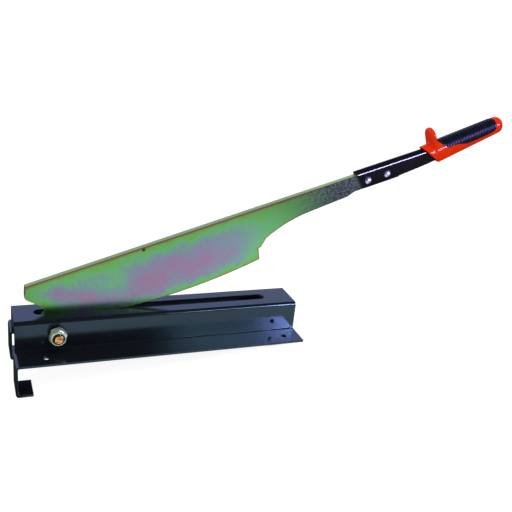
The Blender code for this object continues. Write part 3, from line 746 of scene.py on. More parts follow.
def soften(shape: Shape, width: float, sharper_than: float, segments: int = 3) -> Shape:
    """Round the edges of a shape that are sharper than some angle.

    Args:
        shape: The shape.
        width: How far the rounding reaches on each face.
        sharper_than: The least angle between two faces, in radians.
        segments: How many steps the rounding has.

    Returns:
        The same shape.
    """
    sharp = [edge for edge in shape.edges if edge.is_manifold and edge.calc_face_angle() > sharper_than]
    how = {"offset_type": "OFFSET", "affect": "EDGES", "clamp_overlap": True, "material": -1}
    bmesh.ops.bevel(shape, geom=sharp, offset=width, segments=segments, profile=0.5, **how)
    return shape


def turned(profile: Sequence[Span], sides: int, ring: bool = False) -> Shape:
    """Turn a profile about the Y axis.

    Args:
        profile: Radius and place along Y of each corner.
        sides: How many steps a turn has.
        ring: Whether the profile closes on itself; if not, it starts and ends on the axis.

    Returns:
        The turned shape.
    """
    shape = bmesh.new()
    corners = [shape.verts.new((radius, along, 0)) for radius, along in profile]
    for pair in list(zip(corners, corners[1:])) + ([(corners[-1], corners[0])] if ring else []):
        shape.edges.new(pair)
    line = shape.verts[:] + shape.edges[:]
    turn = {"cent": (0, 0, 0), "axis": (0, 1, 0), "angle": math.tau, "steps": sides}
    bmesh.ops.spin(shape, geom=line, use_merge=True, use_duplicate=False, **turn)
    return close_up(shape)


def rod(radius: float, start: float, end: float, sides: int) -> Shape:
    """Return a round bar about the Y axis."""
    return turned(((0.0, start), (radius, start), (radius, end), (0.0, end)), sides)


def as_object(name: str, shape: Shape) -> bpy.types.Object:
    """Make an object of a shape, which is used up.

    Args:
        name: The object's name.
        shape: Its shape.

    Returns:
        The object, linked to the scene.
    """
    mesh = bpy.data.meshes.new(name)
    shape.to_mesh(mesh)
    shape.free()
    made = bpy.data.objects.new(name, mesh)
    bpy.context.scene.collection.objects.link(made)
    return made


def modified(made: bpy.types.Object, kind: str, **settings: object) -> bpy.types.Mesh:
    """Return an object's mesh as one modifier makes it.

    Args:
        made: The object, which is left as it is.
        kind: The modifier's type.
        settings: The modifier's properties.

    Returns:
        The new mesh.
    """
    modifier = made.modifiers.new(kind, kind)
    for name, value in settings.items():
        setattr(modifier, name, value)
    bpy.context.view_layer.update()
    mesh = bpy.data.meshes.new_from_object(made.evaluated_get(bpy.context.evaluated_depsgraph_get()))
    made.modifiers.clear()
    return mesh


def reworked(shape: Shape, kind: str, **settings: object) -> Shape:
    """Run a shape, which is used up, through one modifier.

    Args:
        shape: The shape.
        kind: The modifier's type.
        settings: The modifier's properties. A shape among them becomes an object and is used up too.

    Returns:
        The new shape.
    """
    helpers = [as_object("work", shape)]
    for name, value in settings.items():
        if isinstance(value, Shape):
            helpers.append(as_object("tool", value))
            settings[name] = helpers[-1]
    mesh = modified(helpers[0], kind, **settings)
    result = bmesh.new()
    result.from_mesh(mesh)
    bpy.data.batch_remove([mesh, *helpers, *(helper.data for helper in helpers)])
    return result


def combined(first: Shape, second: Shape, operation: str) -> Shape:
    """Join, cut or intersect two closed shapes, which are used up."""
    return reworked(first, "BOOLEAN", operation=operation, solver="EXACT", object=second)


@dataclass(frozen=True)
class Piece:
    """What a piece is called, rides on, is finished in and stands for."""

    name: str
    body: Body
    slot: Slot
    finish: Finish
    stands_for: str

    def install(self, shape: Shape, placement: Matrix) -> None:
        """Put a finished shape in its place, dressed and riding on its body.

        Args:
            shape: The shape, which is used up.
            placement: Where its frame stands in the row frame.
        """
        shape.transform(placement)
        made = as_object(self.name, shape)
        rough_mesh = made.data
        rough_mesh.shade_smooth()
        rough_mesh.set_sharp_from_angle(angle=SMOOTH_ANGLE)
        made.data = modified(made, "WEIGHTED_NORMAL", keep_sharp=True, weight=100)
        bpy.data.meshes.remove(rough_mesh)
        made.data.name = self.name
        made.data.materials.clear()
        made.data.materials.append(self.finish.material())
        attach(made, self.body.value)
        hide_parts(self.stands_for)
        LOG.info("%s: %d faces, rides on %s", self.name, len(made.data.polygons), self.body.value)


@dataclass
class PlateWork:
    """The two large pieces of plate: the folded table and the blade.

    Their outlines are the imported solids', and this gives their sheared and folded edges the small rounding
    that shows as a bright or dark line along them.
    """

    nodes: Mapping[str, bpy.types.Object]
    finishes: Finishes
    table_edge: float = 0.00035
    blade_edge: float = 0.00055
    sharp: float = math.radians(50.0)
    weld: float = 5e-6

    def node_copy(self, name: str) -> Shape:
        """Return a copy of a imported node's shape, merged, with its flat faces whole.

        Args:
            name: The node's name.

        Returns:
            The shape.
        """
        shape = bmesh.new()
        shape.from_mesh(self.nodes[name].data)
        bmesh.ops.remove_doubles(shape, verts=shape.verts, dist=self.weld)
        bmesh.ops.dissolve_limit(shape, angle_limit=FLAT_ANGLE, verts=shape.verts, edges=shape.edges)
        return shape

    def build(self) -> None:
        """Make both pieces."""
        table = Piece("folded_table", Body.BASE, Slot.BLACK_PAINT, self.finishes.paint, "base_frame")
        blade = Piece("blade_plate", Body.LEVER, Slot.YELLOW_ZINC, self.finishes.blade, "blade")
        for piece, edge in ((table, self.table_edge), (blade, self.blade_edge)):
            piece.install(soften(self.node_copy(piece.stands_for), edge, self.sharp), Matrix.Identity(4))


@dataclass
class PivotHardware:
    """The bolt, its self-locking nut, the lock ring and the washers, on an axis along Y through the pivot.

    Places along the axis are distances from the blade's middle plane: the nut's count to the front and the
    bolt head's to the back.
    """

    lever: Lever
    finishes: Finishes
    bolt_radius: float = 0.006
    bore_radius: float = 0.0063
    across_flats: float = 0.019
    corner_turn: float = math.radians(15)
    washer_radius: float = 0.010
    washer_span: Span = (0.0263, 0.0288)
    clamp_start: float = 0.0291
    nut_hex_end: float = 0.0381
    nut_end: float = 0.0411
    head_end: float = 0.0366
    bolt_end: float = 0.0436
    collar_radius: float = 0.0090
    collar_round: float = 0.0007
    hex_chamfers: Span = (0.0007, 0.0008)
    recess_radius: float = 0.0080
    recess_floor: float = 0.0384
    ring_radius: float = 0.0077
    ring_start: float = 0.0387
    ring_edge: float = 0.0004
    thread_pitch: float = 0.00175
    thread_depth: float = 0.00095
    thread_length: float = 0.020
    thread_form: tuple[Span, ...] = ((0.0, 0.0), (0.0, 0.12), (1.0, 0.50), (1.0, 0.62))
    chamfer: float = 0.0012
    lip: float = 0.0004
    bevel: float = 0.0002
    head_overlap: float = 0.001
    shank_overlap: float = 0.010
    sharp: float = math.radians(60)
    sides: int = 48

    @property
    def corner_radius(self) -> float:
        """Return the radius at a hexagon's corners."""
        return self.across_flats / 2 / math.cos(math.pi / HEXAGON_SIDES)

    def bar(self, start: float, end: float) -> Shape:
        """Return a hexagon bar between two places along Y."""
        turn = Matrix.Rotation(-self.corner_turn, 3, "Y")
        return mapped(rod(self.corner_radius, start, end, HEXAGON_SIDES), lambda place: turn @ place)

    def nut(self) -> Shape:
        """Shape the nut: a hexagon bar inside a turned envelope with chamfers, collar, recess and bore.

        Returns:
            The nut.
        """
        flat, corner = self.across_flats / 2, self.corner_radius
        profile = (
            (self.bore_radius + self.lip, self.clamp_start),
            (flat, self.clamp_start),
            (corner, self.clamp_start + self.hex_chamfers[0]),
            (corner, self.nut_hex_end - self.hex_chamfers[1]),
            (flat - self.bevel / 2, self.nut_hex_end),
            (self.collar_radius, self.nut_hex_end + self.bevel),
            (self.collar_radius, self.nut_end - self.collar_round),
            (self.collar_radius - self.bevel, self.nut_end - self.bevel),
            (self.collar_radius - self.lip, self.nut_end),
            (self.recess_radius, self.nut_end),
            (self.recess_radius, self.recess_floor),
            (self.bore_radius, self.recess_floor),
            (self.bore_radius, self.clamp_start + self.lip),
        )
        envelope = turned([(radius, -out) for radius, out in profile], self.sides, ring=True)
        bar = self.bar(self.lip - self.clamp_start, -self.nut_end - self.lip)
        return combined(envelope, bar, "INTERSECT")

    def bolt(self) -> Shape:
        """Shape the bolt: chamfered hexagon head, shank and a thread of rings up to its chamfered end.

        Returns:
            The bolt.
        """
        corner, head_chamfer = self.corner_radius, self.chamfer / 2
        profile = [
            (0.0, self.head_end),
            (self.across_flats / 2 - head_chamfer, self.head_end),
            (corner, self.head_end - head_chamfer),
            (corner, self.clamp_start),
            (self.bolt_radius, self.clamp_start),
        ]
        place = self.thread_length - self.bolt_end
        while place - self.thread_pitch > self.thread_depth - self.bolt_end:
            for sunk, along in self.thread_form:
                radius = self.bolt_radius - sunk * self.thread_depth
                profile.append((radius, place - along * self.thread_pitch))
            place -= self.thread_pitch
        profile += [(self.bolt_radius, place), (self.bolt_radius, self.chamfer - self.bolt_end)]
        profile += [(self.bolt_radius - self.chamfer, -self.bolt_end), (0.0, -self.bolt_end)]
        head = self.bar(self.clamp_start - self.bevel, self.head_end + self.head_overlap)
        shank = rod(self.collar_radius, self.clamp_start, -self.nut_end - self.shank_overlap, self.sides)
        return combined(turned(profile, self.sides), combined(head, shank, "UNION"), "INTERSECT")

    def ring(self, outside: float, start: float, end: float) -> Shape:
        """Return a turned ring with the bolt's bore and rounded edges, between two places along Y."""
        profile = ((self.bore_radius, start), (outside, start), (outside, end), (self.bore_radius, end))
        return soften(turned(profile, self.sides, ring=True), self.ring_edge, self.sharp)

    def build(self) -> None:
        """Make every piece that is clamped round the pivot."""
        finishes = self.finishes
        lock_ring = self.ring(self.ring_radius, -self.nut_end, -self.ring_start)
        rows = [
            ("lock_nut", Slot.ZINC, finishes.zinc, "pivot_nut", self.nut()),
            ("hex_bolt", Slot.ZINC, finishes.bolt_zinc, "pivot_bolt", self.bolt()),
            ("lock_ring", Slot.NYLON, finishes.nylon, "nut_lock_ring", lock_ring),
        ]
        for side, name in ((-1, "front"), (1, "back")):
            washer = self.ring(self.washer_radius, *(side * place for place in self.washer_span))
            rows.append((f"{name}_flat_washer", Slot.ZINC, finishes.dark_washer_zinc, f"{name}_washer", washer))
        for name, slot, finish, node, shape in rows:
            Piece(name, Body.BASE, slot, finish, node).install(shape, Matrix.Translation(self.lever.pivot))


@dataclass(frozen=True)
class Channel:
    """The handle channel's sizes and the line under its crown: straight, a slight bend, straight again."""

    start: float = 0.4349
    end: float = 0.6498348
    outside: float = 0.0065
    inside: float = 0.0045
    front_depth: float = 0.0260
    tail_depth: float = 0.0150
    rivets: Span = (0.4509, 0.4807)
    rivet_height: float = 0.0519
    crown: float = 0.06151938
    bend_start: float = 0.5298
    bend_radius: float = 0.570
    bend_angle: float = math.radians(3.2)

    @property
    def bend_end(self) -> float:
        """Return the reach at which the line is straight again."""
        return self.bend_start + self.bend_angle * self.bend_radius

    def depth(self, reach: float) -> float:
        """Return the channel's depth under its crown."""
        share = max((reach - self.rivets[1]) / (self.end - self.rivets[1]), 0)
        return between(self.front_depth, self.tail_depth, share)

    def at(self, place: Vector) -> Place:
        """Bend a place that was drawn along a straight handle.

        Args:
            place: The reach along the line, the distance to the side and the rise above it.

        Returns:
            The place in the blade's frame.
        """
        reach, side, rise = place
        bend = min(max((reach - self.bend_start) / self.bend_radius, 0), self.bend_angle)
        straight, beyond = min(reach, self.bend_start), max(reach - self.bend_end, 0)
        swing = self.bend_radius - rise
        x = straight + swing * math.sin(bend) + beyond * math.cos(bend)
        z = self.crown + self.bend_radius - swing * math.cos(bend) + beyond * math.sin(bend)
        return x, side, z


@dataclass
class Rivets:
    """Two domed rivets through the channel and the tang."""

    lever: Lever
    finishes: Finishes
    channel: Channel = Channel()
    shank_radius: float = 0.00275
    head_radius: float = 0.0050
    head_height: float = 0.0032
    head_start: float = 0.0068
    lip: float = 0.0002
    steps: int = 8
    sides: int = 40

    def shape(self) -> Shape:
        """Shape one rivet, with a domed head on both sides.

        Returns:
            The rivet.
        """
        dome_radius = (self.head_radius**2 + self.head_height**2) / (2 * self.head_height)
        opening = math.asin(self.head_radius / dome_radius)
        profile = [(0.0, self.head_start + self.head_height)]
        for step in range(1, self.steps + 1):
            angle = opening * step / self.steps
            lift = dome_radius * (math.cos(angle) - math.cos(opening))
            profile.append((dome_radius * math.sin(angle), self.head_start + lift))
        under = self.head_start - self.lip
        profile += [(self.head_radius - self.lip, under), (self.shank_radius, under)]
        profile += [(radius, -along) for radius, along in reversed(profile)]
        return turned(profile, self.sides)

    def build(self) -> None:
        """Make both rivets."""
        for name, reach in zip(("front_rivet", "rear_rivet"), self.channel.rivets):
            placement = self.lever.placement() @ Matrix.Translation((reach, 0, self.channel.rivet_height))
            piece = Piece(f"{name}_domed", Body.LEVER, Slot.BRIGHT_ZINC, self.finishes.bright_zinc, name)
            piece.install(self.shape(), placement)


def lofted(reaches: Sequence[float], sides: int, section: Callable[[float, float], Span]) -> Shape:
    """Roll a grid into a tube with a ring at each reach and close both ends.

    Args:
        reaches: The reach of each ring.
        sides: How many corners a ring has.
        section: Gives a ring's corner from its reach and its turn.

    Returns:
        The closed shape, along a straight handle.
    """
    shape, steps = bmesh.new(), len(reaches) - 1
    bmesh.ops.create_grid(shape, x_segments=steps, y_segments=sides, size=0.5)

    def rolled(place: Vector) -> Place:
        """Give a grid's corner its place on its ring."""
        reach = reaches[round((place.x + 0.5) * steps)]
        return reach, *section(reach, round((place.y + 0.5) * sides) / sides * math.tau)

    close_up(mapped(shape, rolled))
    bmesh.ops.holes_fill(shape, edges=shape.edges)
    return close_up(shape)


@dataclass
class HandleSheet:
    """The folded handle channel: a half-round crown on straight legs, its front end cut at a lean."""

    lever: Lever
    finishes: Finishes
    channel: Channel = Channel()
    hole_radius: float = 0.00305
    hole_half_length: float = 0.01
    front_lean: float = 0.0076
    edge: float = 0.00035
    sharp: float = math.radians(50)
    crown_steps: int = 24
    bend_steps: int = 18
    hole_sides: int = 32

    def _section(self, reach: float, turn: float) -> Span:
        """Give a corner of the sheet's section, which runs from leg to leg outside and back inside.

        Args:
            reach: How far along the handle the section is.
            turn: The way round the section.

        Returns:
            The distance to the side and the rise above the line.
        """
        last = self.crown_steps + 2
        radius, number = self.channel.outside, round(turn / math.tau * 2 * (last + 1)) % (2 * (last + 1))
        if number > last:
            radius, number = self.channel.inside, 2 * last + 1 - number
        lean = math.pi * min(max(number - 1, 0), self.crown_steps) / self.crown_steps
        bottom = self.channel.outside - self.channel.depth(reach)
        return -radius * math.cos(lean), bottom if number in (0, last) else radius * math.sin(lean)

    def _leaned(self, place: Vector) -> Place:
        """Slant the cut at the channel's front end."""
        slant = (place.x < self.channel.start + MERGE_DISTANCE) * self.front_lean / self.channel.front_depth
        return place.x + slant * (self.channel.outside - place.z), place.y, place.z

    def shape(self) -> Shape:
        """Shape the bent channel with its rivet holes.

        Returns:
            The channel.
        """
        channel = self.channel
        shares = [step / self.bend_steps for step in range(self.bend_steps + 1)]
        bend = [between(channel.bend_start, channel.bend_end, share) for share in shares]
        reaches = [channel.start, channel.rivets[1], *bend, channel.end]
        straight = lofted(reaches, 2 * (self.crown_steps + 3), self._section)
        shape = close_up(mapped(mapped(straight, self._leaned), channel.at))
        soften(shape, self.edge, self.sharp)
        for reach in channel.rivets:
            drill = rod(self.hole_radius, -self.hole_half_length, self.hole_half_length, self.hole_sides)
            drill.transform(Matrix.Translation((reach, 0, channel.rivet_height)))
            shape = combined(shape, drill, "DIFFERENCE")
        return shape

    def build(self) -> None:
        """Make the channel."""
        finish = self.finishes.handle_paint
        piece = Piece("handle_sheet", Body.LEVER, Slot.BLACK_PAINT, finish, "handle_channel")
        piece.install(self.shape(), self.lever.placement())


@dataclass
class Grip:
    """The moulded grip with its guard and its ribbed insert, drawn along a straight handle and then bent."""

    lever: Lever
    finishes: Finishes
    channel: Channel = Channel()
    start: float = 0.5403348
    end: float = 0.6733348
    front_lean: float = 0.0225
    collar_length: float = 0.030
    collar_cover: float = 0.0028
    top_cover: float = 0.0042
    under_cover: float = 0.0051
    front_side_cover: float = 0.0060
    rear_side_cover: float = 0.0045
    end_rounding: float = 0.009
    fit_gap: float = 0.0003
    socket_overruns: Span = (0.002, 0.001)
    guard_reach: float = 0.5584348
    guard_thickness: float = 0.0056
    guard_width: float = 0.0240
    guard_height: float = 0.0222
    guard_root: float = 0.7
    guard_edge: float = 0.0018
    guard_sharp: float = math.radians(60)
    guard_sides: int = 40
    guard_segments: int = 4
    insert_start: float = 0.5668348
    insert_end: float = 0.6588348
    insert_thickness: float = 0.0022
    insert_sink: float = 0.0001
    deepest: float = 0.8
    bed_height: float = 0.002
    rib_pitch: float = 0.0044
    rib_height: float = 0.0007
    rib_power: float = 1.6
    rib_fade: Span = (0.03, 0.07)
    along_shares: tuple[float, ...] = (0.0, 0.035, 0.115, 0.26, 0.36, 0.45, 0.63, 0.79, 0.94, 0.985, 1.0)
    wrap_shares: tuple[float, ...] = (0.10, 0.29, 0.45, 0.46, 0.51, 0.56, 0.58, 0.58, 0.57, 0.50, 0.36)
    insert_grid: tuple[int, int] = (168, 44)
    bed_grid: tuple[int, int] = (60, 24)
    sides: int = 56
    stations: int = 24
    end_steps: int = 7
    oval_power: float = 2.3
    voxel: float = 0.0006
    smoothing_rounds: int = 6

    @property
    def end_start(self) -> float:
        """Return the reach at which the grip's end starts to round off."""
        return self.end - self.end_rounding

    def top(self, reach: float) -> float:
        """Return how far the grip's top rises above the line."""
        share = min(max((reach - self.start) / self.collar_length, 0), 1)
        return self.channel.outside + between(self.collar_cover, self.top_cover, share)

    def half_height(self, reach: float) -> float:
        """Return half the grip's height."""
        cover = self.top(reach) - self.channel.outside + self.under_cover
        return (cover + self.channel.depth(reach)) / 2

    def half_width(self, reach: float) -> float:
        """Return half the grip's width."""
        share = (reach - self.start) / (self.end - self.start)
        return self.channel.outside + between(self.front_side_cover, self.rear_side_cover, share)

    def oval(self, reach: float, turn: float, outset: float = 0.0) -> Span:
        """Return a place on the grip's section.

        Args:
            reach: How far along the handle the section is.
            turn: The way round the section, 0 at its top.
            outset: How far outside the section the place is.

        Returns:
            The distance to the side and the rise above the line.
        """
        shrink = math.sqrt(max(1 - (max(reach - self.end_start, 0) / self.end_rounding) ** 2, 0))
        half_height, half_width = self.half_height(reach), self.half_width(reach)
        shares, power = (math.sin(turn), math.cos(turn)), 2 / self.oval_power
        side, lift = (math.copysign(abs(share) ** power, share) for share in shares)
        middle = self.top(reach) - half_height
        return side * (half_width * shrink + outset), middle + lift * (half_height * shrink + outset)

    def _leaned(self, place: Vector) -> Place:
        """Slant the grip's front: what lies lower stands further back, less so towards the rear.

        Args:
            place: A place on the straight grip.

        Returns:
            The place on the slanted one.
        """
        fade = max(1 - (place.x - self.start) / (self.end_start - self.start), 0)
        slant = self.front_lean * fade / (2 * self.half_height(place.x))
        return place.x + slant * (self.top(place.x) - place.z), place.y, place.z

    def guard(self) -> Shape:
        """Shape the hand guard: a tongue with a round top and rounded edges, sunk into the grip.

        Returns:
            The guard.
        """
        radius, base = self.guard_width / 2, self.top(self.guard_reach)
        middle = base + self.guard_height - radius
        straight = middle - (base - self.half_height(self.guard_reach) * self.guard_root)
        front = self.guard_reach - self.guard_thickness / 2

        def outline(_: float, turn: float) -> Span:
            """Give a corner of the tongue's outline."""
            side, rise = radius * math.sin(turn), radius * math.cos(turn)
            return side, middle + rise - (straight if rise < -MERGE_DISTANCE else 0)

        shape = lofted((front, front + self.guard_thickness), self.guard_sides, outline)
        return soften(shape, self.guard_edge, self.guard_sharp, self.guard_segments)

    def shell(self) -> Shape:
        """Shape the moulded grip: body and guard in one skin, the channel's socket and the insert's bed.

        Returns:
            The grip.
        """
        shares = [step / self.stations for step in range(self.stations + 1)]
        reaches = [between(self.start, self.end_start, share) for share in shares]
        turns = [math.pi / 2 * step / (self.end_steps + 1) for step in range(1, self.end_steps + 1)]
        reaches += [self.end_start + self.end_rounding * math.sin(turn) for turn in turns]
        body = mapped(lofted(reaches, self.sides, self.oval), self._leaned)
        skin = reworked(combined(body, self.guard(), "UNION"), "REMESH", mode="VOXEL", voxel_size=self.voxel)
        axes = {f"use_axis_{axis}": True for axis in "xyz"}
        for _ in range(self.smoothing_rounds):
            bmesh.ops.smooth_vert(skin, verts=skin.verts, factor=0.5, **axes)
        for tool in (self.socket(), self.insert_form(self.fit_gap, ribbed=False)):
            skin = combined(skin, tool, "DIFFERENCE")
        return skin

    def socket(self) -> Shape:
        """Shape the space that the channel takes in the grip.

        Returns:
            The space.
        """
        radius = self.channel.outside + self.fit_gap
        reaches = [self.start - self.socket_overruns[0], self.channel.end + self.socket_overruns[1]]

        def section(reach: float, turn: float) -> Span:
            """Give a corner of the channel's section, a half round on straight legs.

            Args:
                reach: How far along the handle the section is.
                turn: The way round the section.

            Returns:
                The distance to the side and the rise above the line.
            """
            side, lift = radius * math.sin(turn), radius * math.cos(turn)
            if lift > -MERGE_DISTANCE:
                return side, lift
            low = self.channel.outside - self.channel.depth(reach) - self.fit_gap
            return (math.copysign(radius, side) if abs(side) > MERGE_DISTANCE else side), low

        return lofted(reaches, self.sides, section)

    def wrap(self, share: float) -> float:
        """Return how far round the grip the insert reaches at some share of its length."""
        return math.pi * float(numpy.interp(share, self.along_shares, self.wrap_shares))

    def insert_form(self, margin: float, ribbed: bool) -> Shape:
        """Return the insert's shell, or the bed that is cut for it.

        Args:
            margin: How much larger it is all round.
            ribbed: Whether it has its ribs; without them it stands well out of the grip.

        Returns:
            The closed shape, along a straight handle.
        """
        shape = bmesh.new()
        along_count, round_count = self.insert_grid if ribbed else self.bed_grid
        bmesh.ops.create_grid(shape, x_segments=along_count, y_segments=round_count, size=0.5)

        def outer(place: Vector) -> Place:
            """Lay the grid on the grip's surface, ribs and all.

            Args:
                place: A corner of the grid.

            Returns:
                The place that it takes.
            """
            share = min(max(place.x + 0.5, 0.0), 1.0)
            reach = between(self.insert_start, self.insert_end, share) + margin * 2 * place.x
            turn = 2 * place.y * (self.wrap(share) + margin / self.half_width(reach))
            outset = self.bed_height
            if ribbed:
                fades = zip((place.x, place.y), self.rib_fade)
                fade = math.prod(smooth_share(0.5 - abs(way), 0.0, width) for way, width in fades)
                wave = 0.5 + 0.5 * math.cos(math.tau * (reach - self.insert_start) / self.rib_pitch)
                outset = fade * self.rib_height * wave**self.rib_power - self.insert_sink
            return reach, *self.oval(reach, turn, outset)

        mapped(shape, outer)
        sunk = self.insert_thickness + margin + (0.0 if ribbed else self.bed_height)
        geometry = bmesh.ops.extrude_face_region(shape, geom=shape.faces, use_keep_orig=True)["geom"]
        for vertex in (item for item in geometry if isinstance(item, bmesh.types.BMVert)):
            middle = self.top(vertex.co.x) - self.half_height(vertex.co.x)
            outward = Vector((0, vertex.co.y, vertex.co.z - middle))
            vertex.co -= outward.normalized() * min(sunk, outward.length * self.deepest)
        return close_up(shape)

    def build(self) -> None:
        """Make the grip and its insert."""
        grip = Piece("moulded_grip", Body.LEVER, Slot.ORANGE, self.finishes.orange, "grip_body")
        insert = Piece("ribbed_insert", Body.LEVER, Slot.BLACK_RUBBER, self.finishes.rubber, "grip_insert")
        for piece, shape in ((grip, self.shell()), (insert, self.insert_form(0.0, ribbed=True))):
            piece.install(mapped(shape, self.channel.at), self.lever.placement())


@dataclass(frozen=True)
class Lamp:
    """A soft lamp: where it hangs, what it points at, its width and height, its power and what it serves."""

    name: str
    place: Place
    target: Place
    size: Span
    watts: float
    lights_colour: bool
    shows_in_gloss: bool
    tint: Place = (1.0, 1.0, 1.0)

    def hang(self) -> None:
        """Add the lamp to the scene."""
        light = bpy.data.lights.new(self.name, "AREA")
        light.shape = "RECTANGLE"
        light.size, light.size_y = self.size
        light.energy = self.watts
        light.color = self.tint
        made = bpy.data.objects.new(self.name, light)
        bpy.context.scene.collection.objects.link(made)
        aim = (Vector(self.target) - Vector(self.place)).to_track_quat("-Z", "Y")
        made.matrix_world = Matrix.Translation(self.place) @ aim.to_matrix().to_4x4()
        made.visible_diffuse = self.lights_colour
        made.visible_glossy = self.shows_in_gloss


@dataclass
class Studio:
    """A plain pale floor with painted shade under the table, soft lamps, a white surround and the camera.

    Gloss shows the floor as a sheet of paper in a dim room. Pairs of numbers are the places at which a part
    of the floor or of the surround fades in, the first with none of it and the second with all.
    """

    camera_place: Place = (-0.38824, -0.83742, 0.50547)
    camera_right: Place = (0.92674, -0.36093, 0.10434)
    camera_down: Place = (-0.04442, -0.38104, -0.92349)
    camera_forward: Place = (0.37307, 0.8512, -0.36915)
    focal_pixels: float = 729.95
    picture_pixels: float = 512.0
    sensor: float = 36.0
    toe_x: float = -0.31625
    flange_end_x: float = 0.03525
    flange_height: float = 0.039
    floor_half_size: float = 30.0
    floor_colour: Colour = (0.8, 0.8, 0.8, 1.0)
    floor_shade: Colour = (0.26, 0.26, 0.26, 1.0)
    floor_glow: float = 0.88
    soft_light: Colour = (0.75, 0.75, 0.75, 1.0)
    paper_front: Span = (-0.54, -0.40)
    paper_back: Span = (0.20, 0.10)
    paper_rear: Span = (0.22, 0.28)
    paper_rear_right: Span = (0.04, -0.03)
    paper_left: Span = (-0.335, -0.322)
    paper_right: Span = (0.26, 0.15)
    paper_turn: Span = (-0.12, 0.20)
    paper_dim: Colour = (0.98, 0.95, 0.95, 1.0)
    paper_bright: Colour = (1.22, 1.18, 1.22, 1.0)
    # Where the painted shade lies: under the table between its webs, and where the flanges' ends touch the
    # floor.
    under_middle: float = 0.010
    under_side: Span = (0.023, 0.018)
    under_left: Span = (-0.18, -0.16)
    under_right: Span = (0.037, 0.033)
    contact_side: Span = (0.058, 0.052)
    contact_left: Span = (-0.02, 0.005)
    room_level: float = 0.03
    backdrop_side: Span = (-0.10, 0.30)
    backdrop_top: Span = (0.70, 0.55)
    backdrop_turn: Span = (0.41, 0.49)
    backdrop_low: Colour = (0.60, 0.64, 0.98, 1.0)
    backdrop_high: Colour = (0.70, 0.82, 1.60, 1.0)
    lamps: tuple[Lamp, ...] = (
        Lamp(
            name="strip_softbox",
            place=(0.565, -0.69, 0.44),
            target=(0.155, 0.0, 0.17),
            size=(0.46, 0.10),
            watts=13.0,
            lights_colour=False,
            shows_in_gloss=True,
            tint=(1.05, 0.86, 1.5),
        ),
        Lamp("softbox_end", (0.18, -0.69, 0.44), (-0.23, 0.0, 0.17), (0.22, 0.08), 1.1, False, True),
        Lamp("overhead", (0.1, -0.5, 1.5), (0.0, 0.0, 0.1), (1.2, 1.0), 9.0, True, False),
        Lamp("front_fill", (-1.1, -1.2, 0.8), (0.0, 0.0, 0.15), (1.4, 1.0), 8.0, True, False),
    )

    def _in_room(self, lit: Signal) -> Signal:
        """Return how bright gloss shows a place that is lit to some share."""
        return lit * (1 - self.room_level) + self.room_level

    def _paper(self, along: Signal, front: Signal) -> Signal:
        """Return how bright gloss shows the floor.

        Args:
            along: The distance along the floor, to the right.
            front: The distance towards the back.

        Returns:
            The brightness, from the room's level to 1.
        """
        paper = front.ramp(*self.paper_front) * front.ramp(*self.paper_back)
        paper = paper.most(front.ramp(*self.paper_rear) * along.ramp(*self.paper_rear_right))
        return self._in_room(paper * along.ramp(*self.paper_left) * along.ramp(*self.paper_right))

    def _painted_shade(self, along: Signal, front: Signal) -> Signal:
        """Return the painted shade on the floor between the table's webs and where the flanges' ends touch it.

        Args:
            along: The distance along the floor, to the right.
            front: The distance towards the back.

        Returns:
            The painted shade, from 0 to 1.
        """
        under = abs(front - self.under_middle).ramp(*self.under_side) * along.ramp(*self.under_left)
        contact = abs(front).ramp(*self.contact_side) * along.ramp(*self.contact_left)
        return under.most(contact) * along.ramp(*self.under_right)

    def floor(self) -> None:
        """Lay the floor where the hooks' feet and the flanges' far ends stand on it."""
        slope = math.atan2(self.flange_height, self.flange_end_x - self.toe_x)
        shape = bmesh.new()
        bmesh.ops.create_grid(shape, x_segments=1, y_segments=1, size=self.floor_half_size)
        shape.transform(Matrix.Translation((self.toe_x, 0, 0)) @ Matrix.Rotation(-slope, 4, "Y"))
        made = as_object("floor", shape)
        material = bpy.data.materials.new("pale_floor")
        material.use_nodes = True
        material.cycles.emission_sampling = "NONE"
        graph = ShaderGraph(material.node_tree)
        along, front, _ = graph.split(graph.place())
        camera = graph.ray("Camera")
        # The painted shade darkens the floor for the camera and for gloss alike.
        whole = self._paper(along, front).most(camera) * (1 - self._painted_shade(along, front))
        tint = graph.mix(self.paper_dim, self.paper_bright, along.ramp(*self.paper_turn))
        glowing = {"Color": graph.mix(tint, WHITE, camera), "Strength": whole * self.floor_glow}
        glow = graph.node("Emission", glowing)
        pale = graph.node("BsdfDiffuse", {"Color": graph.mix(BLACK, self.floor_shade, whole)})
        shown = graph.node("AddShader", {0: pale.outputs[0], 1: glow.outputs[0]})
        graph.end_by_ray("OutputMaterial", graph.node("BsdfDiffuse", {"Color": self.floor_colour}), shown)
        made.data.materials.append(material)

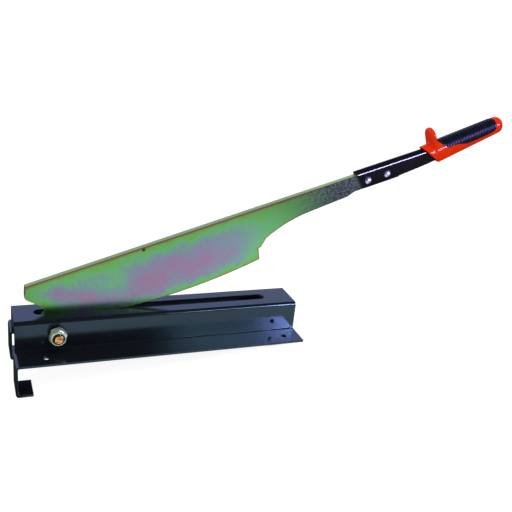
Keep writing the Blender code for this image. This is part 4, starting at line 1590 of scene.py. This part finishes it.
    def world(self) -> None:
        """Surround the tool: white for the camera, a backdrop in a dim room for gloss, and a soft light."""
        world = bpy.data.worlds.new("surround")
        bpy.context.scene.world = world
        world.use_nodes = True
        graph = ShaderGraph(world.node_tree)
        _, behind, up = graph.split(graph.node("TexCoord").outputs["Generated"])
        lit = self._in_room(behind.ramp(*self.backdrop_side) * up.ramp(*self.backdrop_top))
        tone = graph.mix(self.backdrop_low, self.backdrop_high, up.ramp(*self.backdrop_turn))
        colour = graph.mix(graph.mix(BLACK, tone, lit), WHITE, graph.ray("Camera"))
        soft, shown = (graph.node("Background", {"Color": light}) for light in (self.soft_light, colour))
        graph.end_by_ray("OutputWorld", soft, shown)

    def camera(self) -> None:
        """Stand the camera where the photograph was taken."""
        data = bpy.data.cameras.new("camera")
        data.sensor_width = self.sensor
        data.lens = self.focal_pixels / self.picture_pixels * self.sensor
        made = bpy.data.objects.new("camera", data)
        bpy.context.scene.collection.objects.link(made)
        axes = Vector(self.camera_right), -Vector(self.camera_down), -Vector(self.camera_forward)
        made.matrix_world = Matrix.Translation(self.camera_place) @ Matrix(axes).transposed().to_4x4()
        bpy.context.scene.camera = made

    def build(self) -> None:
        """Set up the floor, the surround, the lamps and the camera."""
        bpy.context.scene.view_settings.view_transform = "Standard"
        self.camera()
        self.floor()
        self.world()
        for lamp in self.lamps:
            lamp.hang()


@dataclass
class HiddenPieces:
    """What the bolt carries between the table's webs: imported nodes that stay, with a finish of their own."""

    nodes: Mapping[str, bpy.types.Object]
    finishes: Finishes
    of_steel: tuple[str, ...] = ("front_spacer", "back_spacer")
    of_bronze: tuple[str, ...] = ("front_thrust_washer", "back_thrust_washer", "pivot_bush")

    def build(self) -> None:
        """Give each node its finish."""
        for names, finish in ((self.of_steel, self.finishes.steel), (self.of_bronze, self.finishes.bronze)):
            for name in names:
                for slot in self.nodes[name].material_slots:
                    slot.material = finish.material()
                LOG.info("%s keeps its packed shape", name)


def clear_scene() -> None:
    """Remove what a new file holds."""
    for found in list(bpy.data.objects):
        bpy.data.objects.remove(found, do_unlink=True)


def main() -> None:
    """Load the frame, set up the studio and build each sub-assembly."""
    logging.basicConfig(level=logging.INFO, format="%(message)s")
    clear_scene()
    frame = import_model()
    Studio().build()
    lever, finishes = Lever(), Finishes()
    PlateWork(frame["nodes"], finishes).build()
    for assembly in (PivotHardware, Rivets, HandleSheet, Grip):
        assembly(lever, finishes).build()
    HiddenPieces(frame["nodes"], finishes).build()


if __name__ == "__main__":
    main()
